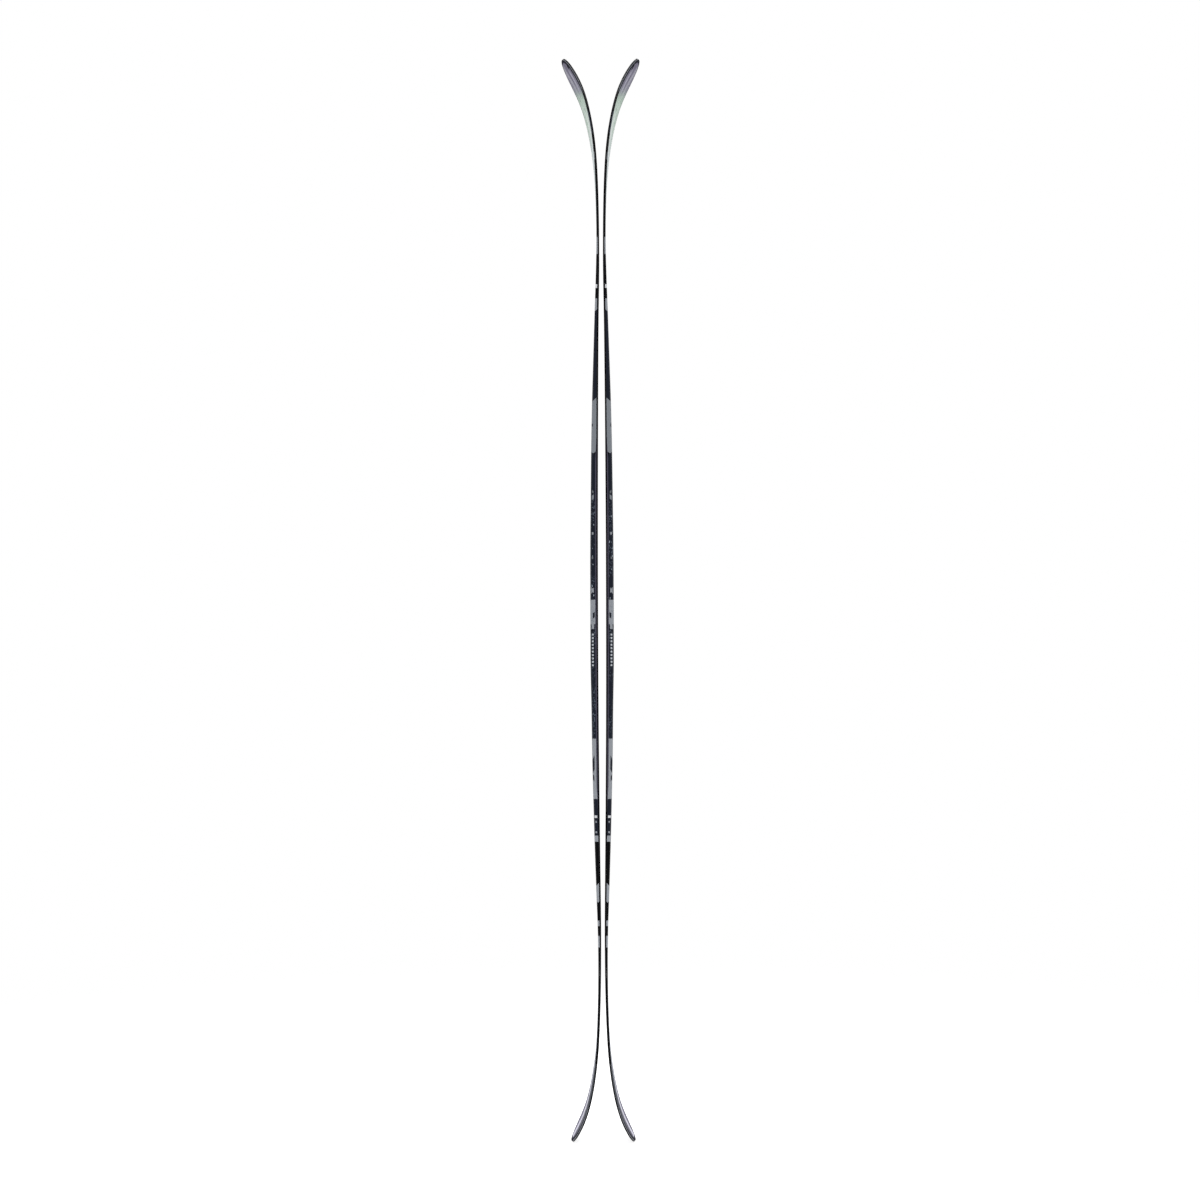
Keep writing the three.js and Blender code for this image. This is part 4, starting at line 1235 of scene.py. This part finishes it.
def pieces():
    """Yields (name, slot, solid, options) for every piece of one ski."""
    yield "top_sheet", "top_film", top_sheet(), {"angle": 40}
    yield "upper_laminate", "glass_laminate", upper_laminate(), {"inset": True}
    yield "lower_laminate", "glass_laminate", lower_laminate(), {"inset": True}
    yield "base_sheet", "running_base", base_sheet(), {"inset": True}

    edge_path = range(ring_index(S_TAIL_JOINT), ring_index(S_TIP_JOINT) + 1)
    wall_path = range(ring_index(S_SIDE[0]), ring_index(S_SIDE[1]) + 1)
    for word, flip in SIDES:
        yield f"steel_edge_{word}", "edge_steel", steel_edge(edge_path, flip), {}
        yield f"edge_foil_{word}", "damping_rubber", edge_foil(edge_path, flip), {}
        yield f"sidewall_{word}", "sidewall_plastic", sidewall(wall_path, flip), {}
    tip, tail = ring_index(S_TIP_JOINT + BUTT), ring_index(S_TAIL_JOINT - BUTT)
    yield "tip_rim", "rim_plastic", rim(range(tip, 2 * TIP - tip + 1)), {}
    yield "tail_rim", "rim_plastic", rim(range(2 * TIP - tail, 2 * TIP + tail + 1)), {}

    yield "core_center", "dense_core", core_center(), {}
    yield "carbon_tape", "carbon_tape", carbon_tape(), {}
    yield "binding_plate", "plate_alloy", binding_plate(), {}
    for word, flip in SIDES:
        yield f"core_inner_{word}", "light_core", core_inner(flip), {}
        yield f"core_outer_{word}", "light_core", core_outer(flip), {}
    tip_spacer = spacer(ring_index(S_CORE[1] + BUTT), TIP)
    yield "tip_spacer", "spacer_plastic", tip_spacer, {}
    tail_spacer = spacer(0, ring_index(S_CORE[0] - BUTT))
    yield "tail_spacer", "spacer_plastic", tail_spacer, {}


for ski in ("left", "right"):
    for piece, piece_slot, piece_solid, options in pieces():
        make(piece, piece_solid, ski, piece_slot, **options)

# ------------------------------------------------------------------ stage, light and camera (m)
FLOOR_RADII, FLOOR_SEGMENTS = (0.3, 0.8, 1.5, 2.4, 4.0), 72
AIM = (0, 0, 0.9)
KEY_POWER = 138
# (name, place, size, power)
LIGHTS = [
    ("key_soft", (-2.0, -4.4, 4.8), 1.8, KEY_POWER),
    ("fill_soft", (2.0, -4.4, 4.8), 1.8, KEY_POWER),
    ("back_soft", (0, 3.0, 6.0), 2.4, KEY_POWER * 0.9),
]
# Brightness of the room as a light: eye level, overhead, side walls, distant floor
ROOM_LOW, ROOM_HIGH, ROOM_SIDE, ROOM_FLOOR = 0.06, 0.45, 0.75, 0.6
SENSOR = 36  # mm
FRAMED_WIDTH, FRAMED_DISTANCE = 1.96493, 3.145  # width seen at a distance from the camera


def link(obj):
    bpy.context.scene.collection.objects.link(obj)


def pale_paper():
    """White paper that fades out with distance, into the white room."""
    g = Graph("pale_paper")
    tone = g.noise(scale=4, detail=2, stretch=None)
    g.finish(g.mix(tone, srgb(247, 247, 248), srgb(251, 251, 251)), rough=0.9,
             Specular_IOR_Level=0.0, Emission_Color=(1.0, 1.0, 1.0, 1.0), Emission_Strength=0.74)
    x, y, _ = g.axes
    away = g.math("SQRT", x * x + y * y)
    fade = g.ease(away, start=0.25, end=2.2, kind="SMOOTHERSTEP")
    clear = g.add("ShaderNodeBsdfTransparent")
    paper = Signal(g, g.shader.outputs[0])
    g.put(g.output.inputs[0], g.add("ShaderNodeMixShader", {0: fade, 1: paper, 2: clear}))
    return g.material


def floor():
    low = float(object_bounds()[0][2])
    angles = np.linspace(0, 2 * math.pi, FLOOR_SEGMENTS, endpoint=False)
    bm = bmesh.new()
    rings = [[bm.verts.new((r * math.cos(a), r * math.sin(a), low)) for a in angles]
             for r in FLOOR_RADII]
    bm.faces.new(rings[0])
    for p, q in zip(rings[:-1], rings[1:]):
        for k in range(FLOOR_SEGMENTS):
            j = (k + 1) % FLOOR_SEGMENTS
            bm.faces.new((p[k], q[k], q[j], p[j]))
    mesh = bpy.data.meshes.new("studio_floor")
    bm.to_mesh(mesh)
    bm.free()
    obj = bpy.data.objects.new("studio_floor", mesh)
    link(obj)
    mesh.materials.append(pale_paper())
    obj.visible_glossy = False
    obj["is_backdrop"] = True


def area_light(name, place, size, power):
    light = bpy.data.lights.new(name, "AREA")
    light.shape = "RECTANGLE"
    light.size = light.size_y = size
    light.energy = power
    obj = bpy.data.objects.new(name, light)
    obj.location = place
    obj.rotation_euler = (Vector(AIM) - Vector(place)).to_track_quat("-Z", "Y").to_euler()
    link(obj)


def room():
    """Plain white to the camera; as a light, bright overhead and dim at eye level."""
    world = bpy.data.worlds.new("white_room")
    world.use_nodes = True
    nodes = Nodes(world.node_tree)
    seen = nodes.add("ShaderNodeLightPath", output="Is Camera Ray")
    direction = nodes.add("ShaderNodeTexCoord", output="Generated")
    split = nodes.new("ShaderNodeSeparateXYZ", {0: direction})
    x, up = Signal(nodes, split.outputs[0]), Signal(nodes, split.outputs[2])
    sideways = nodes.add("ShaderNodeMath", {0: x}, operation="ABSOLUTE")
    walls = nodes.ease(sideways, start=0.70, end=0.97, to=(0.0, ROOM_SIDE))
    overhead = nodes.ease(up, start=0.05, end=0.75, to=(ROOM_LOW, ROOM_HIGH))
    ground = nodes.ease(up, start=-0.50, end=-0.13, to=(ROOM_FLOOR, 0.0))
    total = nodes.add("ShaderNodeMath", {0: overhead, 1: walls})
    total = nodes.add("ShaderNodeMath", {0: total, 1: ground})
    back = world.node_tree.nodes["Background"]
    nodes.put(back.inputs[0], (1, 1, 1, 1))
    nodes.put(back.inputs[1], nodes.add("ShaderNodeMix", {0: seen, 2: total, 3: 1.0}))
    bpy.context.scene.world = world


def camera():
    data = bpy.data.cameras.new("camera")
    data.sensor_width = SENSOR
    data.lens = SENSOR * FRAMED_DISTANCE / FRAMED_WIDTH
    data.shift_x, data.shift_y = -0.00192, 0.0833
    data.clip_end = 60
    obj = bpy.data.objects.new("camera", data)
    obj.location = (0, -3.2, 0.7345)
    obj.rotation_mode = "XYZ"
    obj.rotation_euler = (math.pi / 2, 0, 0)
    obj.rotation_euler.rotate_axis("Z", math.radians(-0.159))
    link(obj)
    bpy.context.scene.camera = obj


floor()
for lamp in LIGHTS:
    area_light(*lamp)
room()
camera()
bpy.context.scene.view_settings.view_transform = "Standard"

boxes = {"cad": CAD_BOX, "visual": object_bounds()}
{key: [list(map(float, c)) for c in box] for key, box in boxes.items()}
